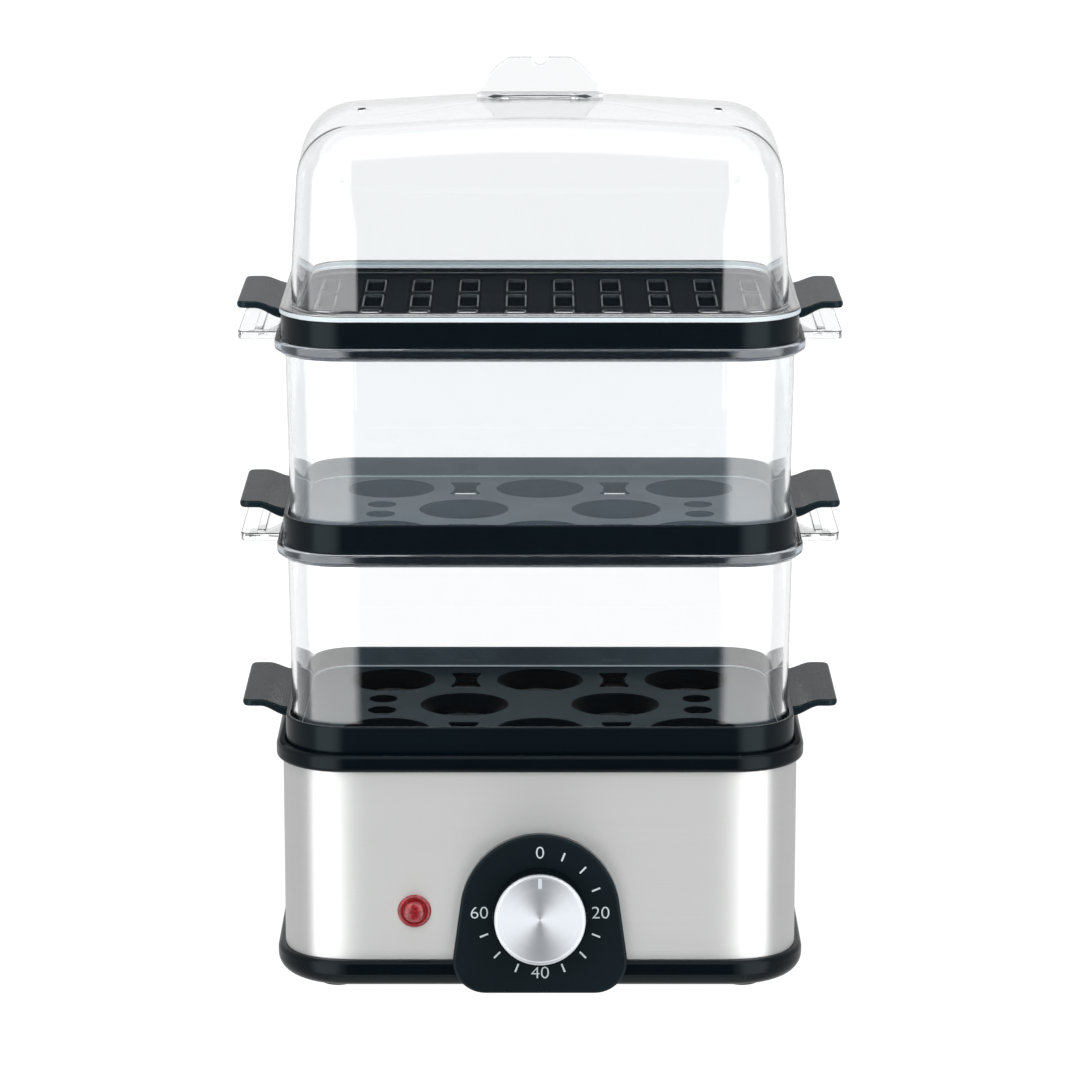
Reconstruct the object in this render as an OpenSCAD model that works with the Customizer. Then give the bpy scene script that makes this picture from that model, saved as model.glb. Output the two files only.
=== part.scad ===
// Three-tier electric egg cooker: heated base, two egg trays, a steamer tray and clear covers.
// Lengths are in millimetres. +Z is up, the front faces -Y, and the origin lies under the middle
// of the whole appliance, on the surface that it stands on.

/* [Trays] */
// Width of a tray over its rim
tray_w = 219; // [205:1:235]
// Depth of a tray over its rim
tray_d = 141; // [136:1:152]
// Corner radius of the tray rim
tray_corner_r = 26.5; // [25.5:0.5:29]
// Thickness of the tray walls
tray_wall = 2; // [1.5:0.1:2.2]
// Thickness of the tray floors
tray_floor = 2; // [1.5:0.1:2.5]
// Height of an egg tray from skirt edge to rim
egg_tray_h = 16.5; // [15:0.5:20]
// Depth of an egg tray floor below its rim
egg_floor_drop = 8.5; // [7:0.5:9.5]
// Height of the steamer tray from skirt edge to rim
steamer_tray_h = 15.1; // [12:0.1:20]
// Depth of the steamer tray floor below its rim
steamer_floor_drop = 3.2; // [2.5:0.1:6]
// Radius that rounds the top edge of a tray rim
rim_round = 0.8; // [0.4:0.1:1]

/* [Egg seats] */
// Diameter of the hole under an egg
egg_hole_d = 28; // [24:1:30]
// Diameter of the dish round the hole
dish_d = 38; // [34:1:40]
// Depth of the dish
dish_depth = 4; // [3:0.5:5]
// Length of the lip below the dish
dish_lip = 3.7; // [1:0.1:4]
// Spacing of the seats along a row
egg_pitch_x = 66.4; // [62:0.2:68]
// Spacing of the rows
egg_pitch_y = 42.2; // [40:0.2:44]
// Diameter of the small steam holes beside the middle row
steam_hole_d = 12; // [8:1:14]
// Distance of the small steam holes from the middle of the tray
steam_hole_x = 69.3; // [67:0.1:72]
// Spacing of each pair of small steam holes
steam_hole_pitch = 19.2; // [16:0.2:20]
// Height of the collar under a steam hole
steam_collar_h = 1.2; // [0.6:0.1:3]
// Wall of the collars under the holes and slots
collar_wall = 1.2; // [0.8:0.1:1.6]
// Length of a waisted slot
waist_slot_l = 24; // [18:1:26]
// Width of a waisted slot at its ends
waist_slot_w = 12.6; // [11:0.2:14]
// Width of a waisted slot at its waist
waist_w = 9; // [6:0.5:10]

/* [Steamer slots] */
// Width of a steam slot
slot_w = 7.6; // [5:0.1:9]
// Length of a steam slot
slot_l = 28.5; // [20:0.5:31]
// Corner radius of a steam slot
slot_r = 2; // [1:0.1:2.4]
// Number of slots in a row
slot_columns = 10; // [6:2:10]
// Number of rows
slot_rows = 3; // [1:1:3]
// Spacing of the slots along a row
slot_pitch_x = 20.6; // [16:0.1:20.8]
// Spacing of the rows of slots
slot_pitch_y = 36.5; // [33:0.5:37]
// Depth of the channel that joins the slots of a column
channel_depth = 0.7; // [0.3:0.1:1]
// Width of that channel
channel_w = 11; // [9.5:0.1:13]
// Height of the collar under a slot
slot_collar_h = 3.5; // [1:0.1:6]

/* [Side handles] */
// Reach of a tray handle beyond the rim
handle_reach = 19.5; // [16:0.5:26]
// Length of a tray handle along the side
handle_l = 66; // [54:1:70]
// Thickness of a tray handle at its end
handle_t = 3; // [2.4:0.1:4]
// Thickness of a tray handle where it leaves the tray
handle_root_t = 4.2; // [3:0.1:5]
// Drop of a tray handle below the rim where it leaves the tray
handle_drop = 0.9; // [0.9:0.1:3]
// Rise of a tray handle towards its end
handle_rise = 3.1; // [1.5:0.1:3.5]
// Length over which a tray handle rises
handle_bend_l = 12; // [6:0.5:14]
// Corner radius of a handle seen from above
handle_corner_r = 4; // [2:0.5:6]
// Length of a clear handle along the side
clear_handle_l = 60; // [48:1:66]
// Thickness of a clear handle
clear_handle_t = 3.4; // [2:0.1:3.6]

/* [Clear tiers] */
// Height of a clear tier from its foot to the underside of its collar
tier_h = 78.6; // [60:0.2:90]
// Thickness of the clear walls
clear_wall = 2; // [1.6:0.1:2.4]
// Gap between the tray wall and the foot of a clear tier
tier_foot_gap = 1.1; // [0.5:0.1:1.5]
// Growth of the clear wall from its foot to its collar
tier_flare = 1.4; // [0.8:0.1:1.8]
// Thickness of the shelf that carries the next tray
shelf_t = 1.6; // [1.2:0.1:2.2]
// Height of the collar
collar_h = 5.4; // [4.5:0.1:7]
// Thickness of the collar lip
collar_t = 2.4; // [1.8:0.1:3]
// Gap between a tray skirt and the collar or trim round it
skirt_gap = 0.5; // [0.3:0.1:0.8]

/* [Lid] */
// Height of the lid over the steamer tray rim
lid_h = 85.4; // [70:0.2:95]
// Overhang of the lid flange beyond the rim
flange_out = 0.7; // [0.5:0.1:2]
// Thickness of the lid flange
flange_t = 2.6; // [2:0.1:3.5]
// Inset of the lid wall from the tray rim at its foot
lid_foot_in = 4.6; // [4:0.1:5.5]
// Height of the upright foot of the lid wall
lid_foot_h = 17.5; // [10:0.5:25]
// Depth to which the lid wall drops into the steamer tray
lid_spigot_h = 2.2; // [1:0.1:2.4]
// Inset gained by the lid wall up to its top rounding
lid_draft = 3.9; // [2.5:0.1:4.5]
// Radius that rounds the lid from wall to crown
lid_edge_r = 26; // [24:0.5:28]
// Height of the rounding's centre below the crown
lid_round_drop = 28.4; // [27.5:0.1:31]
// Diameter of a steam vent
vent_d = 3.6; // [2.5:0.1:5]
// Distance of a vent to the side of the middle
vent_x = 75.7; // [60:0.1:78]
// Distance of a vent in front of the middle
vent_y = 12; // [8:0.5:34]

/* [Lid tab] */
// Radius of the half-round tab
tab_r = 27.2; // [22:0.1:30]
// Height of the tab over the crown
tab_h = 16.9; // [14:0.1:20]
// Distance from the flat top of the tab down to the centre of its arc
tab_top_r = 24; // [22:0.1:26]
// Thickness of the tab
tab_t = 3; // [2:0.1:4]
// Radius of the notch in its top edge
notch_r = 3.4; // [2.5:0.1:5]
// Width of the foot plate
tab_foot_w = 54; // [50:1:60]
// Depth of the foot plate
tab_foot_d = 8; // [6:0.5:12]
// Thickness of the foot plate
tab_foot_t = 1.6; // [1.2:0.1:2.5]
// Spacing of the two snap pins
snap_pitch = 30; // [20:1:40]
// Diameter of a snap pin
snap_d = 4; // [3:0.1:5]

/* [Base] */
// Height of the rubber feet
foot_h = 4; // [3:0.5:6]
// Diameter of a rubber foot
foot_d = 16; // [12:0.5:18]
// Distance of the feet from the middle, to the side
foot_x = 87.7; // [80:0.1:90]
// Distance of the feet from the middle, front to back
foot_y = 50; // [40:0.5:52]
// Height of the bottom cover below the steel band
cover_h = 12.4; // [11:0.1:16]
// Overhang of the bottom cover beyond the tray rim
cover_out = 4.5; // [4:0.1:6]
// Radius that rounds the underside of the bottom cover
cover_r = 8; // [6:0.5:9]
// Wall thickness of the bottom cover
cover_wall = 2.2; // [1.8:0.1:2.6]
// Height of the steel band
band_h = 83.8; // [80:0.1:95]
// Thickness of the steel band
band_t = 0.8; // [0.5:0.1:1]
// Overhang of the steel band beyond the tray rim
band_out = 1.7; // [1.5:0.1:2.2]
// Height of the top trim above the steel band
trim_h = 7.8; // [7:0.1:9]
// Overhang of the top trim beyond the tray rim
trim_out = 4.2; // [3.6:0.1:5.4]
// Depth of the recess that holds the lower tray
tray_sink = 5.1; // [4:0.1:5.5]

/* [Heating] */
// Depth of the water pan
pan_depth = 18; // [12:0.5:20]
// Thickness of the pan sheet
pan_t = 0.8; // [0.6:0.1:1]
// Thickness of the heater plate under the pan
heater_plate_t = 3; // [2:0.5:4]
// Diameter of the tubular element
element_d = 6.6; // [5:0.1:8]
// Width of the element loop between tube centres
element_w = 104; // [90:1:110]
// Depth of the element loop between tube centres
element_loop_d = 52; // [46:1:54]
// Bend radius of the element
element_bend_r = 20; // [16:1:22]
// Distance of the standoffs from the middle, to the side
standoff_x = 72; // [68:1:74]
// Distance of the standoffs from the middle, front to back
standoff_y = 40; // [38:1:42]
// Diameter of a standoff
standoff_d = 8; // [6:0.5:9]

/* [Dial and timer] */
// Height of the dial centre above the table
dial_z = 39.8; // [38:0.1:42]
// Distance of the dial centre in front of the band
dial_out = 9.3; // [8.5:0.1:12]
// Lean of the dial panel
panel_lean = 7.5; // [4:0.5:9]
// Radius of the arched top of the panel
panel_arch_r = 34.3; // [33.5:0.1:36]
// Distance from the dial centre down to the panel's lower edge
panel_drop = 34.3; // [34:0.1:35.5]
// Radius of the panel's lower corners
panel_corner_r = 14; // [11:0.5:15]
// Half width of the panel at its lower corners
panel_half_w = 37.3; // [36.8:0.1:39]
// Wall thickness of the panel
panel_wall = 2.4; // [2:0.1:2.8]
// Diameter of the knob skirt
knob_d = 40.8; // [38:0.2:44]
// Length of the knob from panel to face
knob_h = 15; // [13:0.5:18]
// Diameter of the metal knob cap
knob_cap_d = 39.6; // [36:0.2:40]
// Thickness of the metal knob cap
knob_cap_t = 2.6; // [2:0.1:3]
// Number of ribs round the knob
knob_ribs = 72; // [48:4:96]
// Diameter of the timer shaft
shaft_d = 6; // [5:0.5:6.5]
// Width of the timer housing
timer_w = 38; // [36:1:38]
// Height of the timer housing
timer_h = 34; // [34:1:34.5]
// Depth of the timer housing
timer_depth = 24; // [23.5:0.5:26]
// Tooth size of the timer gears
gear_module = 0.8; // [0.7:0.01:0.84]
// Teeth on the shaft gear
gear_teeth = 24; // [22:1:25]
// Teeth on the pinion
pinion_teeth = 10; // [9:1:11]
// Running clearance round a turning shaft
shaft_gap = 0.05; // [0.02:0.01:0.08]
// Distance of the indicator lamp to the left of the dial
lamp_x = 53.9; // [50:0.1:60]
// Height of the indicator lamp above the table
lamp_z = 38.4; // [36:0.1:50]
// Diameter of the indicator lens flange
lamp_d = 14.6; // [13:0.1:16]
// Diameter of the hole behind the indicator lens
lamp_hole_d = 11; // [10:0.5:12]

/* [Wiring] */
// Diameter of an inner wire
wire_d = 2.2; // [1.8:0.1:2.6]
// Bore of the cord gland
gland_bore_d = 7; // [6:0.1:8]
// Distance of the cord gland to the right of the middle
gland_x = 64; // [60:1:66]
// Height of the cord gland above the table
gland_z = 30; // [28:1:40]

/* [Hidden] */
$fn = 72;
// Overlap that joins two shapes of one solid
bond = 0.4;
// Reach of a cutting shape past the face it cuts
past = 1;
// Gap between parts that meet without pressing
seat_gap = 0.1;
// Gap round a pin or screw in its hole
hole_gap = 0.2;

// Corner axes that every rounded outline shares
axis_x = tray_w / 2 - tray_corner_r;
axis_y = tray_d / 2 - tray_corner_r;
tray_in_r = tray_corner_r - tray_wall;

// Heights of the stack above the table
cover_z = foot_h;
band_z = cover_z + cover_h;
trim_z = band_z + band_h;
trim_top_z = trim_z + trim_h;
seat_1_z = trim_top_z - tray_sink;
rim_1_z = seat_1_z + egg_tray_h;
tier_1_z = rim_1_z - egg_floor_drop;
seat_2_z = tier_1_z + tier_h + shelf_t;
rim_2_z = seat_2_z + egg_tray_h;
tier_2_z = rim_2_z - egg_floor_drop;
seat_3_z = tier_2_z + tier_h + shelf_t;
rim_3_z = seat_3_z + steamer_tray_h;
crown_z = rim_3_z + lid_h;

// Radii of the rounded outlines about the corner axes
skirt_out_r = tray_corner_r + skirt_gap;
collar_out_r = skirt_out_r + collar_t;
tier_foot_r = tray_in_r - tier_foot_gap;
tier_top_r = tier_foot_r + tier_flare;
band_r = tray_corner_r + band_out;
band_in_r = band_r - band_t;
trim_r = tray_corner_r + trim_out;
cover_out_r = tray_corner_r + cover_out;
lid_foot_r = tray_corner_r - lid_foot_in;
lid_top_r = lid_foot_r - lid_draft;

// Faces of the base
band_front_y = -(axis_y + band_r);
cover_front_y = -(axis_y + cover_out_r);
cover_back_y = axis_y + cover_out_r;

// The dial stands in front of the band and leans back
dial_y = band_front_y - dial_out;
knob_chamfer = 0.9;
knob_front_y = dial_y - knob_h * cos(panel_lean)
    - (knob_cap_d / 2 - knob_chamfer) * sin(panel_lean);
// Shift that brings the middle of the footprint over the origin
body_y = -(knob_front_y + cover_back_y) / 2;

// Trim and pan
pan_seat_in = 2.5;
pan_seat_drop = 1.7;
seal_t = 0.8;
pan_flange_r = tray_in_r - 0.8;
pan_seat_z = seat_1_z - pan_seat_drop;
pan_seat_r = tray_in_r - pan_seat_in + 2;
pan_edge_r = 19;
trim_step_t = 3;
trim_under_z = pan_seat_z - trim_step_t;
pan_rim_z = pan_seat_z + seal_t;
pan_wall_r = pan_edge_r - 0.3;
pan_foot_r = pan_wall_r - 2.7;
pan_under_z = pan_rim_z + pan_t - pan_depth - pan_t;
plate_under_z = pan_under_z - heater_plate_t;
plate_in = 24;
element_z = plate_under_z - element_d / 2 - seat_gap;
pin_x = 10;
pin_bend_r = 8;

// Shield and standoffs
shield_drop = 17;
shield_t = 0.6;
shield_lip_h = 7;
shield_r = 8;
shield_z = pan_under_z - shield_drop;
post_h = 16;
post_d = 9;
post_top_z = cover_z + cover_wall + post_h;
screw_d = 3;
screw_head_d = 6;
screw_head_h = 2;
screw_grip = 10;
stud_l = 6;

// Timer, measured along the dial axis from the panel face
bracket_t = 1.2;
bracket_front = -(panel_wall + 7.6);
housing_front = bracket_front - bracket_t;
housing_back = housing_front - timer_depth;
housing_wall = 1.6;
ear_x = 22.5;
ear_r = 3.5;
opening_r = 28;
opening_floor_z = band_z + 2.6;
gear_t = 2;
gear_back = housing_front - 5.8;
drum_r = 11;
drum_t = 6.5;
drum_back = gear_back - 1.5 - drum_t;
cam_r = 8;
cam_t = 2;
cam_back = drum_back - 2 - cam_t;
gear_r = gear_module * gear_teeth / 2;
pinion_r = gear_module * pinion_teeth / 2;
pinion_d = gear_r + pinion_r;
pinion_angle = -45;
arbor_d = 2;
brake_r = timer_h / 2 - housing_wall - pinion_d * sin(-pinion_angle) - 0.4;
brake_t = 1;
panel_screw_x = 30;
panel_screw_z = 23.5;

// Faces of the cord gland and inner fittings
gland_flange_d = 15;
gland_flange_t = 2.4;
gland_barrel_d = 11;
gland_barrel_l = 9;

// Radius of an arc that rises by rise over half its span
function crown_r(half_span, rise) = (half_span * half_span + rise * rise) / (2 * rise);
// Points of an arc about a centre, from angle a0 to a1
function arc(c, r, a0, a1, n) =
    [for (i = [0:n]) let (a = a0 + (a1 - a0) * i / n) [c[0] + r * cos(a), c[1] + r * sin(a)]];
// A point of the dial frame in the body frame
function from_dial(p) = [p[0],
    dial_y + p[1] * sin(panel_lean) - p[2] * cos(panel_lean),
    dial_z + p[1] * cos(panel_lean) + p[2] * sin(panel_lean)];

// Rounded outline that lies r outside the corner axes
module plan(r) {
    square([2 * axis_x, 2 * (axis_y + r)], center = true);
    square([2 * (axis_x + r), 2 * axis_y], center = true);
    for (sx = [-1, 1], sy = [-1, 1])
        translate([sx * axis_x, sy * axis_y]) circle(r);
}

// Plate with that outline
module plan_plate(r, z, t) {
    translate([0, 0, z]) linear_extrude(t) plan(r);
}

// Carries a profile round the outline; x is the distance outside the corner axes, y is the height
module sweep() {
    for (i = [0:3]) {
        a = 90 * i;
        sx = (i == 0 || i == 3) ? 1 : -1;
        sy = (i < 2) ? 1 : -1;
        translate([sx * axis_x, sy * axis_y, 0])
            rotate([0, 0, a]) rotate_extrude(angle = 90) children();
    }
    for (a = [0, 180]) {
        rotate([0, 0, a]) translate([axis_x, axis_y, 0])
            rotate([90, 0, 0]) linear_extrude(2 * axis_y) children();
        rotate([0, 0, a + 90]) translate([axis_y, axis_x, 0])
            rotate([90, 0, 0]) linear_extrude(2 * axis_x) children();
    }
}

// Rectangle with round corners, centred
module round_rect(w, d, r) {
    square([w - 2 * r, d], center = true);
    square([w, d - 2 * r], center = true);
    for (sx = [-1, 1], sy = [-1, 1])
        translate([sx * (w / 2 - r), sy * (d / 2 - r)]) circle(r, $fn = 32);
}

// Places children in the dial's own frame, with +Z out of the panel and +Y up its face
module on_dial() {
    translate([0, dial_y, dial_z]) rotate([90 - panel_lean, 0, 0]) children();
}

// Straight round bar from z0 up to z1
module bar(d, z0, z1) {
    translate([0, 0, z0]) cylinder(d = d, h = z1 - z0);
}

// Repeats children at the four mirrored places
module four(x, y) {
    for (sx = [-1, 1], sy = [-1, 1]) translate([sx * x, sy * y, 0]) children();
}

// Spur gear blank with straight-flanked teeth
module gear_2d(teeth, backlash) {
    r = gear_module * teeth / 2;
    tip_r = r + 0.85 * gear_module;
    root_r = r - 1.15 * gear_module;
    step = 360 / teeth;
    root_half = step * 0.30 - backlash;
    pitch_half = step * 0.25 - backlash;
    tip_half = step * 0.11;
    polygon([for (i = [0:teeth - 1], p = [[root_r, -step / 2], [root_r, -root_half],
        [r, -pitch_half], [tip_r, -tip_half], [tip_r, tip_half], [r, pitch_half],
        [root_r, root_half]])
        [p[0] * cos(i * step + p[1]), p[0] * sin(i * step + p[1])]]);
}

// Insulated wire along a list of points
module wire(points) {
    for (i = [0:len(points) - 2]) {
        run = points[i + 1] - points[i];
        flat = norm([run[0], run[1]]);
        translate(points[i]) rotate([0, atan2(flat, run[2]), atan2(run[1], run[0])])
            cylinder(d = wire_d, h = norm(run), $fn = 24);
        if (i > 0) translate(points[i]) rotate([40, 25, 0]) sphere(d = wire_d + 0.2, $fn = 24);
    }
}

// Screw with a pan head, pointing down from z = 0
module pan_screw(grip) {
    cylinder(d = screw_head_d, h = screw_head_h);
    translate([0, 0, -grip]) cylinder(d = screw_d, h = grip + bond);
}

// Skirt, rim and side handles of a tray whose rim lies at z
module tray_body(z, h, drop) {
    translate([0, 0, z]) {
        sweep() polygon(concat(
            [[tray_in_r, -h], [tray_corner_r, -h]],
            arc([tray_corner_r - rim_round, -rim_round], rim_round, 0, 90, 4),
            arc([tray_in_r + rim_round, -rim_round], rim_round, 90, 180, 4)));
        translate([0, 0, -drop - tray_floor]) linear_extrude(tray_floor)
            plan(tray_in_r + bond);
        for (side = [0, 180]) rotate([0, 0, side]) tray_handle();
    }
}

// Side handle that rises towards its end and then runs level
module tray_handle() {
    root_x = tray_w / 2 - tray_wall / 2;
    end_x = tray_w / 2 + handle_reach;
    bend_x = tray_w / 2;
    steps = 8;
    top = [for (i = [0:steps]) [bend_x + handle_bend_l * i / steps,
        -handle_drop + handle_rise * (1 - cos(180 * i / steps)) / 2]];
    nose = 1;
    end_top = -handle_drop + handle_rise;
    end_under = end_top - handle_t;
    root_under = -handle_drop - handle_root_t;
    under = [for (i = [steps:-1:0]) [bend_x + handle_bend_l * i / steps,
        root_under + (end_under - root_under) * (1 - cos(180 * i / steps)) / 2]];
    intersection() {
        translate([0, handle_l / 2, 0]) rotate([90, 0, 0]) linear_extrude(handle_l)
            polygon(concat([[root_x, -handle_drop]], top,
                arc([end_x - nose, end_top - nose], nose, 90, 0, 3),
                arc([end_x - nose, end_under + nose], nose, 0, -90, 3),
                under, [[root_x, root_under]]));
        translate([0, 0, root_under - past])
            linear_extrude(handle_root_t + handle_rise + 2 * past)
            handle_plan(root_x - past, end_x, handle_l);
    }
}

// Handle outline from above, square at the root and round at its end
module handle_plan(root_x, end_x, l) {
    translate([root_x, -l / 2]) square([end_x - handle_corner_r - root_x, l]);
    translate([root_x, -l / 2 + handle_corner_r])
        square([end_x - root_x, l - 2 * handle_corner_r]);
    for (s = [-1, 1])
        translate([end_x - handle_corner_r, s * (l / 2 - handle_corner_r)])
            circle(handle_corner_r);
}

// Centres of the eight egg seats
egg_seats = [for (y = [-1, 1], x = [-1, 0, 1]) [x * egg_pitch_x, y * egg_pitch_y]];
middle_seats = [for (x = [-1, 1]) [x * egg_pitch_x / 2, 0]];
all_seats = concat(egg_seats, middle_seats);

// Dished seat round an egg hole, with its floor face at z = 0
module egg_seat() {
    hole_r = egg_hole_d / 2;
    dish_r = dish_d / 2;
    rotate_extrude() polygon([[dish_r + bond, 0], [dish_r, 0], [hole_r, -dish_depth],
        [hole_r, -dish_depth - dish_lip], [hole_r + tray_floor, -dish_depth - dish_lip],
        [hole_r + tray_floor, -dish_depth], [dish_r + bond, -tray_floor]]);
}

// Slot between two seats of a row, waisted by them
module waist_slot() {
    waist_r = (egg_pitch_x - waist_w) / 2;
    difference() {
        square([waist_slot_w, waist_slot_l], center = true);
        for (s = [-1, 1]) translate([s * egg_pitch_x / 2, 0]) circle(waist_r);
    }
}

// Egg tray with its rim at z
module egg_tray(z) {
    floor_z = z - egg_floor_drop;
    cut_h = tray_floor + steam_collar_h + 2 * past;
    collar_z = floor_z - tray_floor - steam_collar_h;
    difference() {
        union() {
            tray_body(z, egg_tray_h, egg_floor_drop);
            four(steam_hole_x, steam_hole_pitch / 2)
                bar(steam_hole_d + 2 * collar_wall, collar_z, floor_z - tray_floor + bond);
        }
        translate([0, 0, collar_z - past]) {
            for (p = all_seats) translate(p) cylinder(d = dish_d + bond, h = cut_h);
            four(steam_hole_x, steam_hole_pitch / 2) cylinder(d = steam_hole_d, h = cut_h);
            four(egg_pitch_x / 2, egg_pitch_y) linear_extrude(cut_h) waist_slot();
        }
    }
    translate([0, 0, floor_z]) for (p = all_seats) translate(p) egg_seat();
}

// Clear tier with its foot at z
module clear_tier(z) {
    chamfer_h = 1.8;
    translate([0, 0, z]) {
        sweep() polygon([[tier_foot_r - clear_wall, 0], [tier_foot_r, 0], [tier_top_r, tier_h],
            [skirt_out_r, tier_h], [collar_out_r, tier_h + chamfer_h],
            [collar_out_r, tier_h + collar_h], [skirt_out_r, tier_h + collar_h],
            [skirt_out_r, tier_h + shelf_t], [tier_top_r - clear_wall, tier_h + shelf_t],
            [tier_top_r - clear_wall, tier_h]]);
        for (side = [0, 180]) rotate([0, 0, side]) clear_handle();
    }
}

// Level clear handle, flush with the top of the collar, with a stiffening rib along it
module clear_handle() {
    root_x = axis_x + skirt_out_r + collar_t / 2;
    end_x = tray_w / 2 + handle_reach;
    top_z = tier_h + collar_h;
    rib_w = 3.6;
    rib_h = 0.8;
    rib_end = 3.5;
    translate([0, 0, top_z - clear_handle_t]) linear_extrude(clear_handle_t)
        handle_plan(root_x, end_x, clear_handle_l);
    translate([(root_x + end_x) / 2 - rib_w / 2, -clear_handle_l / 2 + rib_end, top_z - bond])
        cube([rib_w, clear_handle_l - 2 * rib_end, rib_h + bond]);
}

// Solid of the lid, drawn in by inset from its outer faces
module lid_solid(inset) {
    edge_r = lid_edge_r - inset;
    centre = [lid_top_r + 0.05 - lid_edge_r, crown_z - lid_round_drop];
    wall_a = asin(0.06);
    flat_w = 0.5;
    inner_a = acos((flat_w - centre[0]) / edge_r);
    shoulder_z = centre[1] + edge_r * sin(inner_a);
    rise = crown_z - inset - shoulder_z;
    foot_z = rim_3_z - lid_spigot_h - (inset > 0 ? past : 0);
    sweep() polygon(concat(
        [[0, foot_z], [lid_foot_r - inset, foot_z], [lid_foot_r - inset, rim_3_z + lid_foot_h]],
        arc(centre, edge_r, wall_a, inner_a, 14), [[0, shoulder_z]]));
    intersection() {
        translate([-axis_x, -axis_y, foot_z])
            cube([2 * axis_x, 2 * axis_y, lid_h + lid_spigot_h + 2 * past]);
        crown_bar(axis_y, rise, 2 * axis_x, inset, 90);
        crown_bar(axis_x, rise, 2 * axis_y, inset, 0);
    }
}

// Large cylinder whose top rounds the crown across half_span
module crown_bar(half_span, rise, l, inset, turn) {
    r = crown_r(half_span, rise);
    translate([0, 0, crown_z - inset - r]) rotate([0, 0, turn]) rotate([90, 0, 0])
        cylinder(r = r, h = l + 2 * past, center = true, $fn = 720);
}

module lid_dome() {
    color([0.93, 0.95, 0.96, 0.35]) difference() {
        union() {
            plan_plate(tray_corner_r + flange_out, rim_3_z, flange_t);
            lid_solid(0);
        }
        lid_solid(clear_wall);
        for (s = [-1, 1]) {
            translate([s * vent_x, -vent_y, crown_z - lid_round_drop])
                cylinder(d = vent_d, h = lid_round_drop + past);
            translate([s * snap_pitch / 2, 0, crown_z - lid_round_drop])
                cylinder(d = snap_d + 2 * hole_gap, h = lid_round_drop + past);
        }
    }
}

// Finger tab that snaps into the crown of the lid
module lid_tab() {
    arc_z = crown_z + tab_h - tab_top_r;
    snap_grip = clear_wall + 1.6;
    color([0.93, 0.95, 0.96, 0.35]) {
        difference() {
            translate([0, tab_t / 2, arc_z]) rotate([90, 0, 0]) cylinder(r = tab_r, h = tab_t);
            translate([-tab_r - past, -tab_t, arc_z + tab_top_r])
                cube([2 * (tab_r + past), 2 * tab_t, tab_r]);
            translate([-tab_r - past, -tab_t, arc_z - tab_r - past])
                cube([2 * (tab_r + past), 2 * tab_t, crown_z + seat_gap + bond - arc_z + tab_r + past]);
            translate([0, tab_t, arc_z + tab_top_r + 0.2]) rotate([90, 0, 0])
                cylinder(r = notch_r, h = 2 * tab_t);
        }
        translate([0, 0, crown_z + seat_gap]) linear_extrude(tab_foot_t)
            round_rect(tab_foot_w, tab_foot_d, 2);
        for (s = [-1, 1]) translate([s * snap_pitch / 2, 0, crown_z]) {
            bar(snap_d, -snap_grip, seat_gap + bond);
            translate([0, 0, -snap_grip]) cylinder(d1 = snap_d, d2 = snap_d + 1, h = 1);
        }
    }
}

module lower_egg_tray() { color([0.09, 0.1, 0.11]) egg_tray(rim_1_z); }

module lower_clear_tier() { color([0.93, 0.95, 0.96, 0.35]) clear_tier(tier_1_z); }

module middle_egg_tray() { color([0.09, 0.1, 0.11]) egg_tray(rim_2_z); }

module upper_clear_tier() { color([0.93, 0.95, 0.96, 0.35]) clear_tier(tier_2_z); }

// Steamer tray with rows of slots joined by shallow channels
module steamer_tray() {
    floor_z = rim_3_z - steamer_floor_drop;
    columns = [for (i = [0:slot_columns - 1]) (i - (slot_columns - 1) / 2) * slot_pitch_x];
    rows = [for (i = [0:slot_rows - 1]) (i - (slot_rows - 1) / 2) * slot_pitch_y];
    channel_l = (slot_rows - 1) * slot_pitch_y + slot_l + 4;
    collar_z = floor_z - tray_floor - slot_collar_h;
    color([0.09, 0.1, 0.11]) difference() {
        union() {
            tray_body(rim_3_z, steamer_tray_h, steamer_floor_drop);
            for (x = columns, y = rows) translate([x, y, collar_z])
                linear_extrude(slot_collar_h + bond)
                round_rect(slot_w + 2 * collar_wall, slot_l + 2 * collar_wall,
                    slot_r + collar_wall);
        }
        for (x = columns) {
            translate([x, 0, floor_z - channel_depth]) linear_extrude(channel_depth + past)
                square([channel_w, channel_l], center = true);
            for (y = rows) translate([x, y, collar_z - past])
                linear_extrude(tray_floor + slot_collar_h + 2 * past)
                round_rect(slot_w, slot_l, slot_r);
        }
    }
}

// Black lower shell with a rounded edge, screw posts and air slots
module bottom_cover() {
    in_r = cover_out_r - cover_r;
    floor_top = cover_z + cover_wall;
    lip_r = 2;
    spigot_t = 1.4;
    spigot_h = 3;
    spigot_r = band_in_r - 0.3;
    round_z = cover_z + cover_r;
    color([0.07, 0.08, 0.09]) difference() {
        union() {
            sweep() polygon(concat(
                [[in_r - bond, cover_z]],
                arc([in_r, round_z], cover_r, -90, 0, 8),
                arc([cover_out_r - lip_r, band_z - lip_r], lip_r, 0, 90, 4),
                [[spigot_r, band_z], [spigot_r, band_z + spigot_h],
                [spigot_r - spigot_t, band_z + spigot_h]],
                arc([in_r, round_z], cover_r - cover_wall - spigot_t, 0, -90, 6),
                [[in_r, floor_top], [in_r - bond, floor_top]]));
            plan_plate(in_r, cover_z, cover_wall);
            four(standoff_x, standoff_y) bar(post_d, cover_z, post_top_z);
        }
        four(foot_x, foot_y) bar(6, cover_z - past, floor_top + past);
        four(standoff_x, standoff_y) {
            bar(screw_d + 2 * hole_gap, cover_z - past, post_top_z + past);
            bar(screw_head_d + 2 * hole_gap, cover_z - past, cover_z + screw_head_h + 3);
        }
        for (i = [-3:3]) translate([i * 14, 14, cover_z - past])
            linear_extrude(cover_wall + 2 * past) round_rect(3, 24, 1.4);
    }
}

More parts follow.
